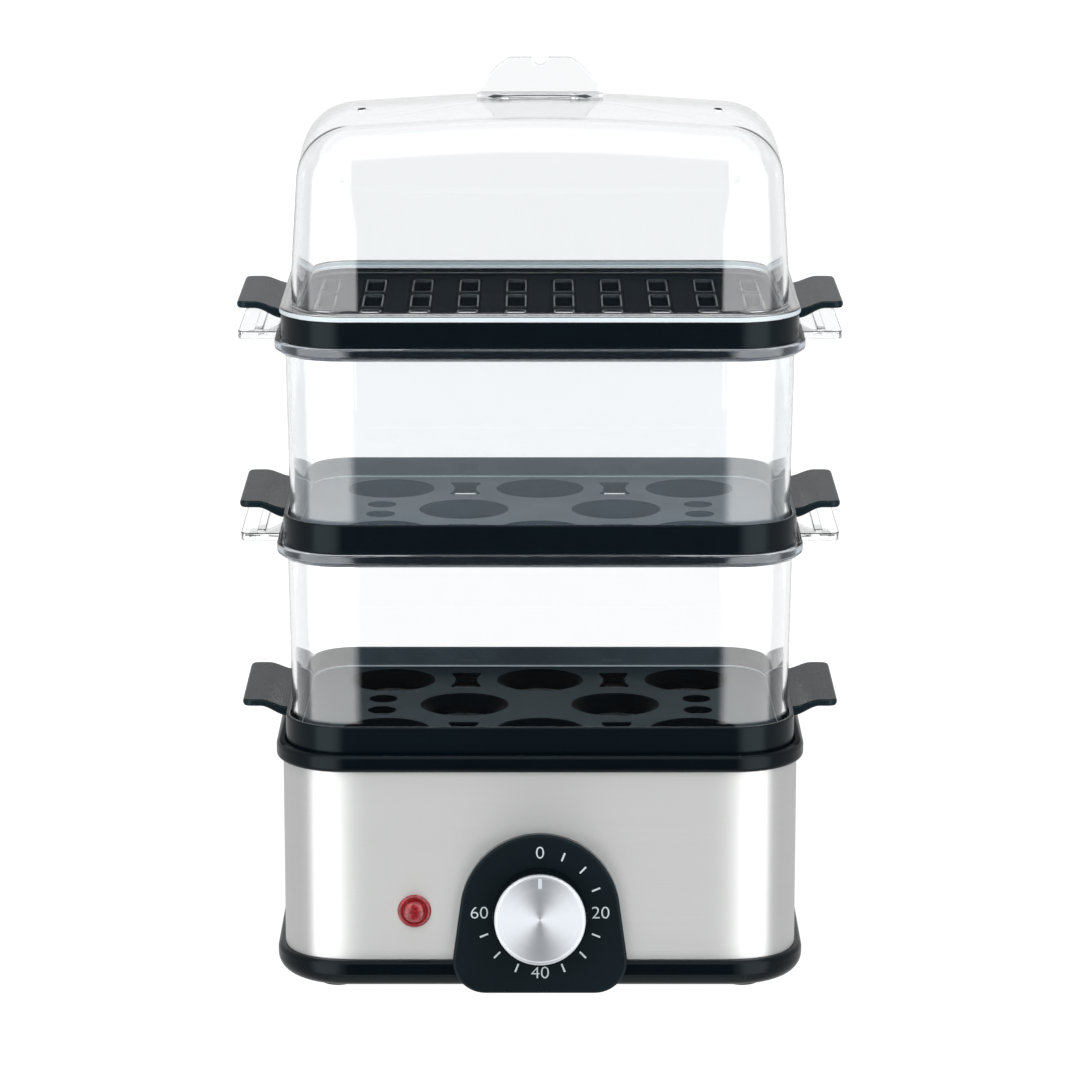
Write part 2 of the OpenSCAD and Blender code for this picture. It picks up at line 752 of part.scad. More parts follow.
// Round rubber feet, each with a stud that is pulled through the cover
module rubber_feet() {
    floor_top = cover_z + cover_wall;
    color([0.05, 0.05, 0.05]) four(foot_x, foot_y) {
        cylinder(d1 = foot_d - 1, d2 = foot_d, h = 1);
        bar(foot_d, 1, cover_z);
        bar(6 - 2 * seat_gap, cover_z - bond, floor_top + bond);
        bar(8, floor_top, floor_top + 1.6);
    }
}

// Four screws that pull the cover up to the standoffs
module cover_screws() {
    head_z = cover_z + screw_head_h + 3;
    color([0.7, 0.7, 0.72]) four(standoff_x, standoff_y) {
        bar(screw_head_d, head_z - screw_head_h, head_z);
        bar(screw_d, head_z - bond, post_top_z + screw_grip);
    }
}

// Brushed steel band with openings for the dial, lamp, screws and cord
module steel_band() {
    reach = band_r + past;
    color([0.8, 0.8, 0.8]) difference() {
        plan_plate(band_r, band_z, band_h);
        plan_plate(band_in_r, band_z - past, band_h + 2 * past);
        intersection() {
            translate([0, -axis_y, dial_axis_z()]) rotate([90, 0, 0])
                cylinder(r = opening_r, h = reach);
            translate([-opening_r, -axis_y - reach, opening_floor_z])
                cube([2 * opening_r, reach, 2 * opening_r]);
        }
        for (s = [-1, 1]) translate([s * panel_screw_x, -axis_y, panel_screw_z])
            rotate([90, 0, 0]) cylinder(d = screw_d + 2 * hole_gap, h = reach);
        translate([-lamp_x, -axis_y, lamp_z]) rotate([90, 0, 0])
            cylinder(d = lamp_hole_d, h = reach);
        translate([gland_x, axis_y + reach, gland_z]) rotate([90, 0, 0])
            cylinder(d = gland_barrel_d + hole_gap, h = reach);
    }
}

// Height at which the dial axis passes through the band
function dial_axis_z() = dial_z - dial_out * tan(panel_lean);

// Bulging black ring that caps the band and holds the lower tray and the pan
module top_trim() {
    skirt_l = 8;
    skirt_t = 1.2;
    skirt_r = band_in_r - 0.3;
    mid_z = trim_z + trim_h / 2;
    bulge = trim_h / 2;
    nose = 2.2;
    color([0.07, 0.08, 0.09]) sweep() polygon(concat(
        [[band_r + 0.2, trim_z]],
        arc([trim_r - nose, trim_z + nose], nose, -70, 0, 5),
        arc([trim_r - nose, trim_top_z - nose], nose, 0, 90, 6),
        [[skirt_out_r, trim_top_z], [skirt_out_r, seat_1_z], [pan_flange_r + 0.3, seat_1_z],
        [pan_flange_r + 0.3, pan_seat_z], [pan_edge_r, pan_seat_z], [pan_edge_r, trim_under_z],
        [skirt_r - skirt_t, trim_under_z], [skirt_r - skirt_t, trim_z - skirt_l],
        [skirt_r, trim_z - skirt_l], [skirt_r, trim_z]]));
}

module pan_seal() {
    color([0.75, 0.75, 0.72]) sweep()
        translate([pan_edge_r + bond, pan_seat_z]) square([pan_flange_r - pan_edge_r - 2 * bond, seal_t]);
}

// Pressed steel pan that holds the water
module water_pan() {
    floor_z = pan_under_z + pan_t;
    color([0.72, 0.73, 0.74]) {
        sweep() polygon([[pan_foot_r - bond, pan_under_z], [pan_foot_r, pan_under_z],
            [pan_wall_r, pan_rim_z], [pan_flange_r, pan_rim_z], [pan_flange_r, pan_rim_z + pan_t],
            [pan_wall_r - pan_t, pan_rim_z + pan_t], [pan_foot_r - pan_t, floor_z],
            [pan_foot_r - bond - pan_t, floor_z], [pan_foot_r - bond - pan_t, pan_under_z]]);
        plan_plate(pan_foot_r - pan_t, pan_under_z, pan_t);
    }
}

// Cast plate that spreads the heat under the pan
module heater_plate() {
    color([0.6, 0.6, 0.62]) translate([0, 0, plate_under_z]) linear_extrude(heater_plate_t)
        round_rect(element_w + plate_in, element_loop_d + plate_in * 0.6, element_bend_r);
}

// Tubular element, bent to a loop with two ends turned down at the back
module heating_element() {
    hx = element_w / 2;
    hy = element_loop_d / 2;
    r = element_bend_r;
    pin_z = element_z - pin_bend_r;
    pin_l = 12;
    color([0.45, 0.42, 0.4]) {
        translate([0, 0, element_z]) {
            for (i = [0:3]) translate([(i == 0 || i == 3 ? 1 : -1) * (hx - r), (i < 2 ? 1 : -1) * (hy - r), 0])
                rotate([0, 0, 90 * i]) rotate_extrude(angle = 90) translate([r, 0])
                circle(d = element_d, $fn = 32);
            translate([-(hx - r), -hy, 0]) rotate([0, 90, 0])
                cylinder(d = element_d, h = 2 * (hx - r), $fn = 32);
            for (s = [-1, 1]) {
                translate([s * hx, hy - r, 0]) rotate([90, 0, 0])
                    cylinder(d = element_d, h = 2 * (hy - r), $fn = 32);
                translate([s * (pin_x + pin_bend_r), hy, 0]) rotate([0, s * 90, 0])
                    cylinder(d = element_d, h = hx - r - pin_x - pin_bend_r, $fn = 32);
            }
        }
        for (s = [-1, 1]) {
            translate([s * (pin_x + pin_bend_r), hy, pin_z]) rotate([90, 0, 0])
                rotate([0, 0, s > 0 ? 90 : 0]) rotate_extrude(angle = 90)
                translate([pin_bend_r, 0]) circle(d = element_d, $fn = 32);
            translate([s * pin_x, hy, pin_z - pin_l])
                cylinder(d = element_d, h = pin_l, $fn = 32);
            translate([s * pin_x, hy, pin_z - pin_l - 6]) cylinder(d = 3, h = 6 + bond, $fn = 32);
        }
    }
}

// Rods between the pan and the shield, each with a stud that clamps the shield
module upper_standoffs() {
    color([0.75, 0.72, 0.5]) four(standoff_x, standoff_y) {
        bar(standoff_d, shield_z + shield_t, pan_under_z);
        bar(screw_d, shield_z - stud_l, shield_z + shield_t + bond);
    }
}

// Pressed sheet that keeps the heat off the timer and the cover
module heat_shield() {
    in_r = shield_r - shield_t;
    color([0.7, 0.71, 0.72]) difference() {
        union() {
            plan_plate(in_r, shield_z, shield_t);
            sweep() polygon([[in_r - bond, shield_z], [shield_r, shield_z],
                [shield_r, shield_z + shield_lip_h], [in_r, shield_z + shield_lip_h],
                [in_r, shield_z + shield_t], [in_r - bond, shield_z + shield_t]]);
        }
        translate([0, element_loop_d / 2, shield_z - past]) linear_extrude(shield_t + 2 * past)
            round_rect(2 * pin_x + 14, 14, 4);
        translate([0, 0, shield_z - past]) cylinder(d = 16, h = shield_t + 2 * past);
        four(standoff_x, standoff_y) bar(screw_d + 2 * hole_gap, shield_z - past, shield_z + past);
    }
}

// Tapped rods between the shield and the cover posts
module lower_standoffs() {
    color([0.75, 0.72, 0.5]) four(standoff_x, standoff_y) difference() {
        bar(standoff_d + 1, post_top_z, shield_z);
        bar(screw_d + 2 * seat_gap, post_top_z - past, post_top_z + screw_grip + 2);
        bar(screw_d + 2 * seat_gap, shield_z - stud_l - 2, shield_z + past);
    }
}

// Disc thermostat under the heater plate
module thermostat() {
    disc_z = plate_under_z - disc_h;
    color([0.25, 0.22, 0.2]) {
        bar(17, disc_z, plate_under_z);
        bar(22, plate_under_z - 1.2, plate_under_z);
        for (s = [-1, 1]) translate([s * tag_x - 0.4, -3, disc_z - tag_l])
            cube([0.8, 6, tag_l + bond]);
    }
}

// Thermostat disc and its tags
disc_h = 7;
tag_x = 4.5;
tag_l = 3;

// Thermal fuse that lies against the heater plate
module thermal_fuse() {
    color([0.8, 0.8, 0.78]) translate([fuse_x, 0, fuse_z]) rotate([0, 90, 0]) {
        cylinder(d = fuse_d, h = fuse_l, $fn = 32);
        translate([0, 0, -lead_l]) cylinder(d = 1, h = fuse_l + 2 * lead_l, $fn = 24);
    }
}

// Fuse body and its leads
fuse_d = 4;
fuse_l = 14;
fuse_x = 22;
lead_l = 3;
fuse_z = plate_under_z - fuse_d / 2 - seat_gap;
clip_l = 4;
clip_t = 1;

// Strap that holds the fuse
module fuse_clip() {
    bore_r = fuse_d / 2 + seat_gap;
    out_r = bore_r + clip_t;
    drop = fuse_z - plate_under_z;
    color([0.7, 0.7, 0.72]) translate([fuse_x + (fuse_l - clip_l) / 2, 0, plate_under_z])
        difference() {
            union() {
                translate([0, -out_r, drop - out_r]) cube([clip_l, 2 * out_r, out_r - drop]);
                translate([0, -out_r - 5, -clip_t]) cube([clip_l, 2 * out_r + 10, clip_t]);
            }
            translate([-past, 0, drop]) rotate([0, 90, 0])
                cylinder(r = bore_r, h = clip_l + 2 * past, $fn = 32);
            translate([-past, -bore_r, drop]) cube([clip_l + 2 * past, 2 * bore_r, past - drop]);
        }
}

// Outline of the dial panel in the dial frame, arched above and broad below
module panel_outline(inset) {
    arch_r = panel_arch_r - inset;
    low_r = panel_corner_r - inset;
    low_x = panel_half_w - panel_corner_r;
    low_y = panel_corner_r - panel_drop;
    // The side is the common tangent of the arch and the lower corner
    span = norm([low_x, low_y]);
    a = atan2(low_y, low_x) + acos((arch_r - low_r) / span);
    circle(arch_r, $fn = 96);
    for (s = [-1, 1]) translate([s * low_x, low_y]) circle(low_r, $fn = 48);
    polygon([[arch_r * cos(a), arch_r * sin(a)], [low_x + low_r * cos(a), low_y + low_r * sin(a)],
        [low_x, low_y - low_r], [-low_x, low_y - low_r],
        [-low_x - low_r * cos(a), low_y + low_r * sin(a)], [-arch_r * cos(a), arch_r * sin(a)]]);
}

// Hollow leaning panel round the dial
module dial_panel() {
    depth = 40;
    boss_d = 7;
    notch_y = cover_front_y - hole_gap;
    color([0.07, 0.08, 0.09]) difference() {
        union() {
            difference() {
                on_dial() translate([0, 0, -depth]) linear_extrude(depth) panel_outline(0);
                on_dial() translate([0, 0, -depth - panel_wall]) linear_extrude(depth)
                    panel_outline(panel_wall);
            }
            on_dial() for (s = [-1, 1]) translate([s * ear_x, 0, bracket_front])
                cylinder(d = boss_d, h = -bracket_front - bond);
            for (s = [-1, 1]) translate([s * panel_screw_x, band_front_y, panel_screw_z])
                rotate([90, 0, 0]) cylinder(d = boss_d - 1, h = dial_out);
        }
        translate([-panel_half_w - past, band_front_y, -past])
            cube([2 * (panel_half_w + past), depth + dial_out, 4 * panel_arch_r]);
        translate([-panel_half_w - past, notch_y, -past])
            cube([2 * (panel_half_w + past), depth, band_z + hole_gap + past]);
        on_dial() translate([0, 0, -depth]) cylinder(d = shaft_d + 2.4, h = depth + past);
        on_dial() for (s = [-1, 1]) translate([s * ear_x, 0, bracket_front - past])
            cylinder(d = screw_d - 0.6, h = 7);
        for (s = [-1, 1]) translate([s * panel_screw_x, band_front_y + past, panel_screw_z])
            rotate([90, 0, 0]) cylinder(d = screw_d + 2 * seat_gap, h = 8);
    }
}

// Two screws that hold the panel from inside the band
module panel_screws() {
    boss_grip = 6;
    color([0.7, 0.7, 0.72]) for (s = [-1, 1])
        translate([s * panel_screw_x, band_front_y + band_t, panel_screw_z])
            rotate([-90, 0, 0]) pan_screw(boss_grip + band_t);
}

// Ribbed black body of the knob
module knob_skirt() {
    gap = 0.6;
    r = knob_d / 2;
    face = knob_h - knob_cap_t;
    rib_depth = 0.5;
    hub_r = shaft_d / 2 + 2.5;
    color([0.06, 0.06, 0.07]) on_dial() difference() {
        translate([0, 0, gap]) linear_extrude(face - gap)
            polygon([for (i = [0:2 * knob_ribs - 1]) let (a = 180 * i / knob_ribs,
                rr = r - (i % 2) * rib_depth) [rr * cos(a), rr * sin(a)]]);
        translate([0, 0, gap - past]) difference() {
            cylinder(r = r - 2.4, h = face - gap - 1.6 + past);
            cylinder(r = hub_r, h = face);
        }
        translate([0, 0, gap - past]) cylinder(d = shaft_d + 0.04, h = face - gap - 1.6 + past);
    }
}

// Metal cap with a chamfered rim and a pointer groove
module knob_cap() {
    r = knob_cap_d / 2;
    back = knob_h - knob_cap_t;
    pointer_w = 1.2;
    pointer_l = 4.5;
    color([0.85, 0.86, 0.87]) on_dial() difference() {
        union() {
            bar(knob_cap_d, back, knob_h - knob_chamfer);
            translate([0, 0, knob_h - knob_chamfer])
                cylinder(r1 = r, r2 = r - knob_chamfer, h = knob_chamfer);
        }
        translate([-pointer_w / 2, r - 3 - pointer_l, knob_h - 0.3])
            cube([pointer_w, pointer_l, past]);
    }
}

module timer_shaft() {
    tip = knob_h - knob_cap_t - 1.8;
    color([0.8, 0.8, 0.8]) on_dial() difference() {
        bar(shaft_d, housing_back + seat_gap, tip);
        translate([shaft_d / 2 - 1, -shaft_d, 3]) cube([shaft_d, 2 * shaft_d, tip]);
    }
}

module timer_gear() {
    color([0.85, 0.75, 0.45]) on_dial() translate([0, 0, gear_back]) linear_extrude(gear_t)
        difference() {
            gear_2d(gear_teeth, 0.4);
            circle(d = shaft_d + 0.04);
        }
}

// Closed drum that holds the clock spring
module timer_drum() {
    color([0.7, 0.7, 0.72]) on_dial() difference() {
        bar(2 * drum_r, drum_back, drum_back + drum_t);
        bar(shaft_d + 0.04, drum_back - past, drum_back + drum_t + past);
    }
}

// Switching cam with one notch
module timer_cam() {
    color([0.9, 0.9, 0.88]) on_dial() difference() {
        bar(2 * cam_r, cam_back, cam_back + cam_t);
        bar(shaft_d + 0.04, cam_back - past, cam_back + cam_t + past);
        translate([-cam_r, 0, cam_back - past]) cylinder(r = 2.4, h = cam_t + 2 * past);
    }
}

// Places children on the axis of the pinion
module on_pinion() {
    on_dial() translate([pinion_d * cos(pinion_angle), pinion_d * sin(pinion_angle), 0])
        children();
}

// Pinion that the shaft gear drives, with its brake wheel
module timer_pinion() {
    mesh_turn = pinion_angle + 180 + 180 / pinion_teeth
        + (pinion_angle % (360 / gear_teeth)) * gear_teeth / pinion_teeth;
    color([0.85, 0.75, 0.45]) on_pinion() {
        bar(arbor_d, housing_back + seat_gap, bracket_front - seat_gap);
        translate([0, 0, gear_back - 0.4]) rotate([0, 0, mesh_turn])
            linear_extrude(gear_t + 0.8) gear_2d(pinion_teeth, 1.2);
        bar(2 * brake_r, cam_back - 1.4 - brake_t, cam_back - 1.4);
    }
}

// Sheet plate that carries the timer behind the panel
module timer_bracket() {
    color([0.75, 0.76, 0.77]) difference() {
        on_dial() translate([0, 0, housing_front]) linear_extrude(bracket_t) difference() {
            union() {
                round_rect(timer_w, timer_h, 3);
                square([2 * ear_x, 2 * ear_r], center = true);
                for (s = [-1, 1]) translate([s * ear_x, 0]) circle(ear_r);
            }
            circle(d = shaft_d + 2 * shaft_gap);
            for (s = [-1, 1]) translate([s * ear_x, 0]) circle(d = screw_d + 2 * hole_gap);
        }
        on_pinion() bar(arbor_d + 2 * shaft_gap, housing_front - past, bracket_front + past);
    }
}

// Open-fronted box round the clockwork
module timer_housing() {
    inner_w = timer_w - 2 * housing_wall;
    inner_h = timer_h - 2 * housing_wall;
    color([0.88, 0.88, 0.85]) difference() {
        on_dial() translate([0, 0, housing_back]) linear_extrude(timer_depth)
            round_rect(timer_w, timer_h, 3);
        on_dial() translate([0, 0, housing_back + housing_wall]) linear_extrude(timer_depth)
            round_rect(inner_w, inner_h, 1.5);
        on_dial() bar(shaft_d + 2 * shaft_gap, housing_back - past, housing_back + 2 * housing_wall);
        on_pinion() bar(arbor_d + 2 * shaft_gap, housing_back - past, housing_back + 2 * housing_wall);
        on_dial() for (y = contact_ys) translate([contact_x - 0.6, y - 3.4, housing_back - past])
            cube([1.2, 6.8, housing_wall + 2 * past]);
    }
}

// Places of the two switch blades in the dial frame
contact_x = -14;
contact_ys = [-6, 6];
blade_out = 7;

// Switch block with two spring blades that leave through the back of the housing
module timer_contacts() {
    block_back = housing_back + housing_wall;
    color([0.75, 0.6, 0.35]) on_dial() {
        translate([contact_x - 2, -11, block_back]) cube([4, 22, 3]);
        for (y = contact_ys) translate([contact_x - 0.4, y - 3, housing_back - blade_out])
            cube([0.8, 6, blade_out + 9]);
    }
}

// Bell that rings when the time is up
module timer_bell() {
    bell_r = 10;
    bell_h = 6;
    bell_x = 4;
    bell_y = 5;
    post_l = 1.5;
    color([0.8, 0.8, 0.78]) on_dial() translate([bell_x, bell_y, housing_back]) {
        bar(4, -post_l - bell_h, 0);
        rotate_extrude() polygon([[0, -post_l - bell_h], [bell_r - 3, -post_l - bell_h],
            [bell_r, -post_l - bell_h + 3], [bell_r, -post_l], [bell_r - 1, -post_l],
            [bell_r - 1, -post_l - bell_h + 3.4], [bell_r - 3.4, -post_l - bell_h + 1],
            [0, -post_l - bell_h + 1]]);
    }
}

module timer_screws() {
    color([0.7, 0.7, 0.72]) on_dial() for (s = [-1, 1]) translate([s * ear_x, 0, housing_front])
        mirror([0, 0, 1]) pan_screw_small();
}

// Short screw through an ear of the timer bracket
module pan_screw_small() {
    head_d = 5;
    head_h = 1.6;
    shank_d = 2.2;
    grip = 5;
    cylinder(d = head_d, h = head_h);
    translate([0, 0, -grip - bracket_t]) cylinder(d = shank_d, h = grip + bracket_t + bond);
}

// Length of the lens barrel behind the band
lens_barrel_l = 10;

// Red lens with a flange, held from behind the band
module indicator_lens() {
    lens_r = 4.8;
    flange_h = 1.6;
    color([0.75, 0.05, 0.08]) translate([-lamp_x, band_front_y, lamp_z]) rotate([90, 0, 0])
        difference() {
            union() {
                cylinder(d1 = lamp_d, d2 = lamp_d - 1.6, h = flange_h);
                translate([0, 0, flange_h - bond]) cylinder(r1 = lens_r, r2 = lens_r - 1.2, h = 2);
                translate([0, 0, -lens_barrel_l])
                    cylinder(d = lamp_hole_d - 2 * hole_gap, h = lens_barrel_l + bond);
            }
            translate([0, 0, -lens_barrel_l - past]) cylinder(r = 3.6, h = lens_barrel_l + past);
        }
}

// Neon lamp inside the lens
module indicator_lamp() {
    color([0.95, 0.7, 0.5]) translate([-lamp_x, band_front_y, lamp_z]) rotate([-90, 0, 0]) {
        bar(5.6, 2, lens_barrel_l + bond);
        bar(9, lens_barrel_l, lens_barrel_l + 4);
    }
}

module indicator_nut() {
    color([0.85, 0.85, 0.83]) translate([-lamp_x, band_front_y + band_t, lamp_z])
        rotate([-90, 0, 0]) difference() {
            bar(16, 0, 2.4);
            bar(lamp_hole_d - hole_gap, -past, 2.4 + past);
        }
}

// Flanged bush where the supply cord enters at the back
module cord_gland() {
    back_y = axis_y + band_r;
    color([0.07, 0.08, 0.09]) translate([gland_x, back_y, gland_z]) rotate([-90, 0, 0])
        difference() {
            union() {
                bar(gland_flange_d, 0, gland_flange_t);
                bar(gland_barrel_d, -gland_barrel_l, bond);
            }
            bar(gland_bore_d, -gland_barrel_l - past, gland_flange_t + past);
        }
}

module gland_nut() {
    back_y = axis_y + band_in_r;
    color([0.1, 0.1, 0.11]) translate([gland_x, back_y, gland_z]) rotate([90, 0, 0])
        linear_extrude(4) difference() {
            circle(d = 17, $fn = 6);
            circle(d = gland_barrel_d + hole_gap);
        }
}

// Places of the terminal block on the cover floor
block_x = 36;
block_y = 42;
block_w = 30;
block_d = 14;
block_h = 13;
block_z = cover_z + cover_wall;

module terminal_block() {
    color([0.92, 0.92, 0.9]) difference() {
        translate([block_x - block_w / 2, block_y - block_d / 2, block_z])
            cube([block_w, block_d, block_h]);
        for (i = [-1:1]) translate([block_x + i * pole_pitch, block_y, block_z + pole_floor])
            cylinder(d = pole_d, h = block_h);
    }
}

// Earth tag under the shield
module earth_tab() {
    color([0.85, 0.75, 0.45]) {
        translate([earth_x, earth_y + earth_foot_d / 2, shield_z - earth_tag_t])
            linear_extrude(earth_tag_t) round_rect(earth_foot_w, earth_foot_d, earth_foot_r);
        translate([earth_x - earth_tag_w / 2, earth_y, shield_z - earth_tag_l])
            cube([earth_tag_w, earth_tag_t, earth_tag_l]);
    }
}

// Place of the earth tag
earth_x = 24;
earth_y = 30;
earth_tag_l = 8;
earth_tag_w = 6.4;
earth_tag_t = 0.8;
earth_foot_w = 10;
earth_foot_d = 8;
earth_foot_r = 2;

// Terminals in the block: their pitch, bore and floor
pole_pitch = 10;
pole_d = 5;
pole_floor = 8;

// Terminals that the wires join
wire_r = wire_d / 2;
blade_low = from_dial([contact_x, contact_ys[0], housing_back - blade_out - seat_gap]);
blade_high = from_dial([contact_x, contact_ys[1], housing_back - blade_out - seat_gap]);
block_top = block_z + block_h + seat_gap;
pin_tail = 18;
pin_low_z = element_z - pin_bend_r - pin_tail - seat_gap;
tag_z = plate_under_z - disc_h - tag_l - seat_gap;

// Live wire to the timer and neutral wire from the element
module supply_wires() {
    rise = 10;
    second_rise = 6;
    aside = 4;
    lead_in = 14;
    lead_up = 8;
    live_x = block_x - pole_pitch;
    run_z = block_top + rise;
    color([0.25, 0.35, 0.6]) {
        wire([[live_x, block_y, block_top], [live_x, block_y, run_z],
            [blade_low[0] + aside, 0, run_z],
            [blade_low[0], blade_low[1] + lead_in, blade_low[2]], blade_low]);
        wire([[block_x, block_y, block_top], [block_x, block_y, run_z + second_rise],
            [pin_x, element_loop_d / 2, pin_low_z - lead_up],
            [pin_x, element_loop_d / 2, pin_low_z]]);
    }
}

// Wire from the timer to the thermostat
module switched_wire() {
    lead_in = 10;
    rise = 14;
    color([0.55, 0.35, 0.2]) wire([blade_high,
        [blade_high[0], blade_high[1] + lead_in, blade_high[2]],
        [-tag_x, 0, blade_high[2] + rise], [-tag_x, 0, tag_z]]);
}

// Leads from the thermostat through the fuse to the element
module fuse_wires() {
    stub = 1.7;
    dip = 1.6;
    dip_x = 14;
    level_x = 16;
    side_x = 43;
    side_dip = 4;
    over = 3;
    under = 7;
    lead_up = 5;
    turn_x = 30;
    turn_y = 12;
    hole_off = 2;
    over_z = shield_z + over;
    pin_y = element_loop_d / 2;
    color([0.9, 0.9, 0.88]) {
        wire([[tag_x, 0, tag_z], [tag_x, 0, tag_z - stub], [dip_x, 0, tag_z - dip],
            [level_x, 0, fuse_z], [fuse_x - lead_l, 0, fuse_z]]);
        wire([[fuse_x + fuse_l + lead_l, 0, fuse_z], [side_x, 0, fuse_z - side_dip],
            [side_x, 0, over_z], [turn_x, turn_y, over_z], [hole_off, pin_y - hole_off, over_z],
            [0, pin_y, shield_z - under], [-pin_x, pin_y, pin_low_z - lead_up],
            [-pin_x, pin_y, pin_low_z]]);
    }
}

// Earth wire from the terminal block to the tag
module earth_wire() {
    tag_low_z = shield_z - earth_tag_l - seat_gap;
    mid_y = earth_y + earth_tag_t / 2;
    lean_x = 2;
    lean_y = 1;
    high = 20;
    low = 14;
    color([0.3, 0.6, 0.25]) wire([[block_x + pole_pitch, block_y, block_top],
        [block_x + pole_pitch - lean_x, block_y - lean_y, shield_z - high],
        [earth_x - lean_y, mid_y, shield_z - low], [earth_x, mid_y, tag_low_z]]);
}

// Centres the footprint over the origin
module place() { translate([0, body_y, 0]) children(); }

place() bottom_cover();
place() rubber_feet();
place() cover_screws();
place() steel_band();
place() top_trim();
place() pan_seal();
place() water_pan();
place() heater_plate();
place() heating_element();
place() upper_standoffs();
place() heat_shield();
place() lower_standoffs();
place() thermostat();
place() thermal_fuse();
place() fuse_clip();
place() dial_panel();
place() panel_screws();
place() knob_skirt();
place() knob_cap();
place() timer_shaft();
place() timer_gear();
place() timer_drum();
place() timer_cam();
place() timer_pinion();
place() timer_bracket();
place() timer_housing();
place() timer_contacts();
place() timer_bell();
place() timer_screws();
place() indicator_lens();
place() indicator_lamp();
place() indicator_nut();
place() cord_gland();
place() gland_nut();
place() terminal_block();
place() earth_tab();
place() supply_wires();
place() switched_wire();
place() fuse_wires();
place() earth_wire();
place() lower_egg_tray();
place() lower_clear_tier();
place() middle_egg_tray();
place() upper_clear_tier();
place() steamer_tray();
place() lid_dome();
place() lid_tab();
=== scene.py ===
"""Looks of a three-tier electric egg cooker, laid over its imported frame."""

import logging
import math
from dataclasses import dataclass
from enum import Enum

import bmesh
import bpy
from mathutils import Matrix, Vector
from mathutils.geometry import tessellate_polygon


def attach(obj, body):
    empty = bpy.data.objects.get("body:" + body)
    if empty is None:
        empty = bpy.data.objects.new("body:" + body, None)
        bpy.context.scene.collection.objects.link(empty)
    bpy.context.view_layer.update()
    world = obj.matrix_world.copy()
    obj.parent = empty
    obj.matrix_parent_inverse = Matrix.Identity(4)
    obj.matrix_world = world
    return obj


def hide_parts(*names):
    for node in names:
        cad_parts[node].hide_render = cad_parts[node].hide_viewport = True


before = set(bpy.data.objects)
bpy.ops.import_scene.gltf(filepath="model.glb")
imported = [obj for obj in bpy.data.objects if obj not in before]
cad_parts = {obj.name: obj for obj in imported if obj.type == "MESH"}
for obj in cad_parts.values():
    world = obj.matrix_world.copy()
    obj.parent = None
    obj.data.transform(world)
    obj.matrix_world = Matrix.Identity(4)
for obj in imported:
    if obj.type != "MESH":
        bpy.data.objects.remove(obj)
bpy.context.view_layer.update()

LOG = logging.getLogger("egg_cooker")
# Metres: a millimetre, and the distances under which small parts weld.
MM = 0.001
FINE_WELD = 0.0000005
CLOSE_WELD = 0.000001
# Millimetres: farther from the middle than any point of the cooker.
FAR = 500.0
# Stands a flat outline up, so that its y becomes height and its thickness runs to the front.
UPRIGHT = Matrix(((1, 0, 0, 0), (0, 0, -1, 0), (0, 1, 0, 0), (0, 0, 0, 1)))

Pair = tuple[float, float]
Triple = tuple[float, float, float]
Colour = tuple[float, float, float]
Loop = list[Pair]
Station = tuple[float, float, float, float]
Socket = bpy.types.NodeSocket
Piece = bpy.types.Object


class Slot(Enum):
    """Material slots of the record, one for each finish of the cooker."""

    BLACK = "black_plastic"
    TRAY = "tray_plastic"
    CLEAR = "clear_plastic"
    BAND = "brushed_band"
    PAN = "pan_steel"
    SHEET = "sheet_steel"
    ZINC = "zinc_steel"
    PLATE = "cast_plate"
    KNOB = "knob_metal"
    ELEMENT = "element_sheath"
    BRASS = "brass_rod"
    RUBBER = "rubber"
    SEAL = "seal"
    DARK = "dark_plastic"
    PALE = "pale_plastic"
    LENS = "red_lens"
    LAMP = "lamp_glass"
    BLUE = "wire_blue"
    BROWN = "wire_brown"
    WHITE = "wire_white"
    GREEN = "wire_green"


class Part(Enum):
    """Bodies of the cooker that move against each other."""

    BASE = "base"
    KNOB = "knob"
    LOWER_TRAY = "lower_tray"
    LOWER_TIER = "lower_tier"
    MIDDLE_TRAY = "middle_tray"
    UPPER_TIER = "upper_tier"
    TOP_TRAY = "top_tray"
    LID = "lid"


class Cut(Enum):
    """Ways in which one solid changes another."""

    JOIN = "UNION"
    TAKE = "DIFFERENCE"


class Tree:
    """Node tree to which each node is added, set and linked in one call."""

    def __init__(self, tree: bpy.types.NodeTree) -> None:
        """Take a tree and empty it."""
        self.tree = tree
        tree.nodes.clear()

    def feed(self, value: Socket | object, target: Socket) -> None:
        """Link a socket to an input, or set the input to a plain value.

        Args:
            value: socket to link from, or a plain value.
            target: the input.
        """
        if isinstance(value, bpy.types.NodeSocket):
            self.tree.links.new(value, target)
        else:
            target.default_value = value

    def node(self, kind: str, sockets: dict | None = None, **settings: object) -> bpy.types.Node:
        """Add one node.

        Args:
            kind: the node's type.
            sockets: sockets to link from, or plain values, by input name or number.
            settings: the node's properties.

        Returns:
            The new node.
        """
        made = self.tree.nodes.new(kind)
        for key, value in settings.items():
            setattr(made, key, value)
        for key, value in (sockets or {}).items():
            self.feed(value, made.inputs[key])
        return made

    def math(self, kind: str, one: Socket | float, two: Socket | float = 0.0) -> Socket:
        """Return the output of a math node on two values."""
        return self.node("ShaderNodeMath", {0: one, 1: two}, operation=kind).outputs[0]

    def rise(self, value: Socket, low: float, high: float) -> Socket:
        """Return a smooth step from 0 to 1 between two values."""
        sockets = {"Value": value, "From Min": low, "From Max": high}
        return self.node("ShaderNodeMapRange", sockets, interpolation_type="SMOOTHSTEP").outputs["Result"]


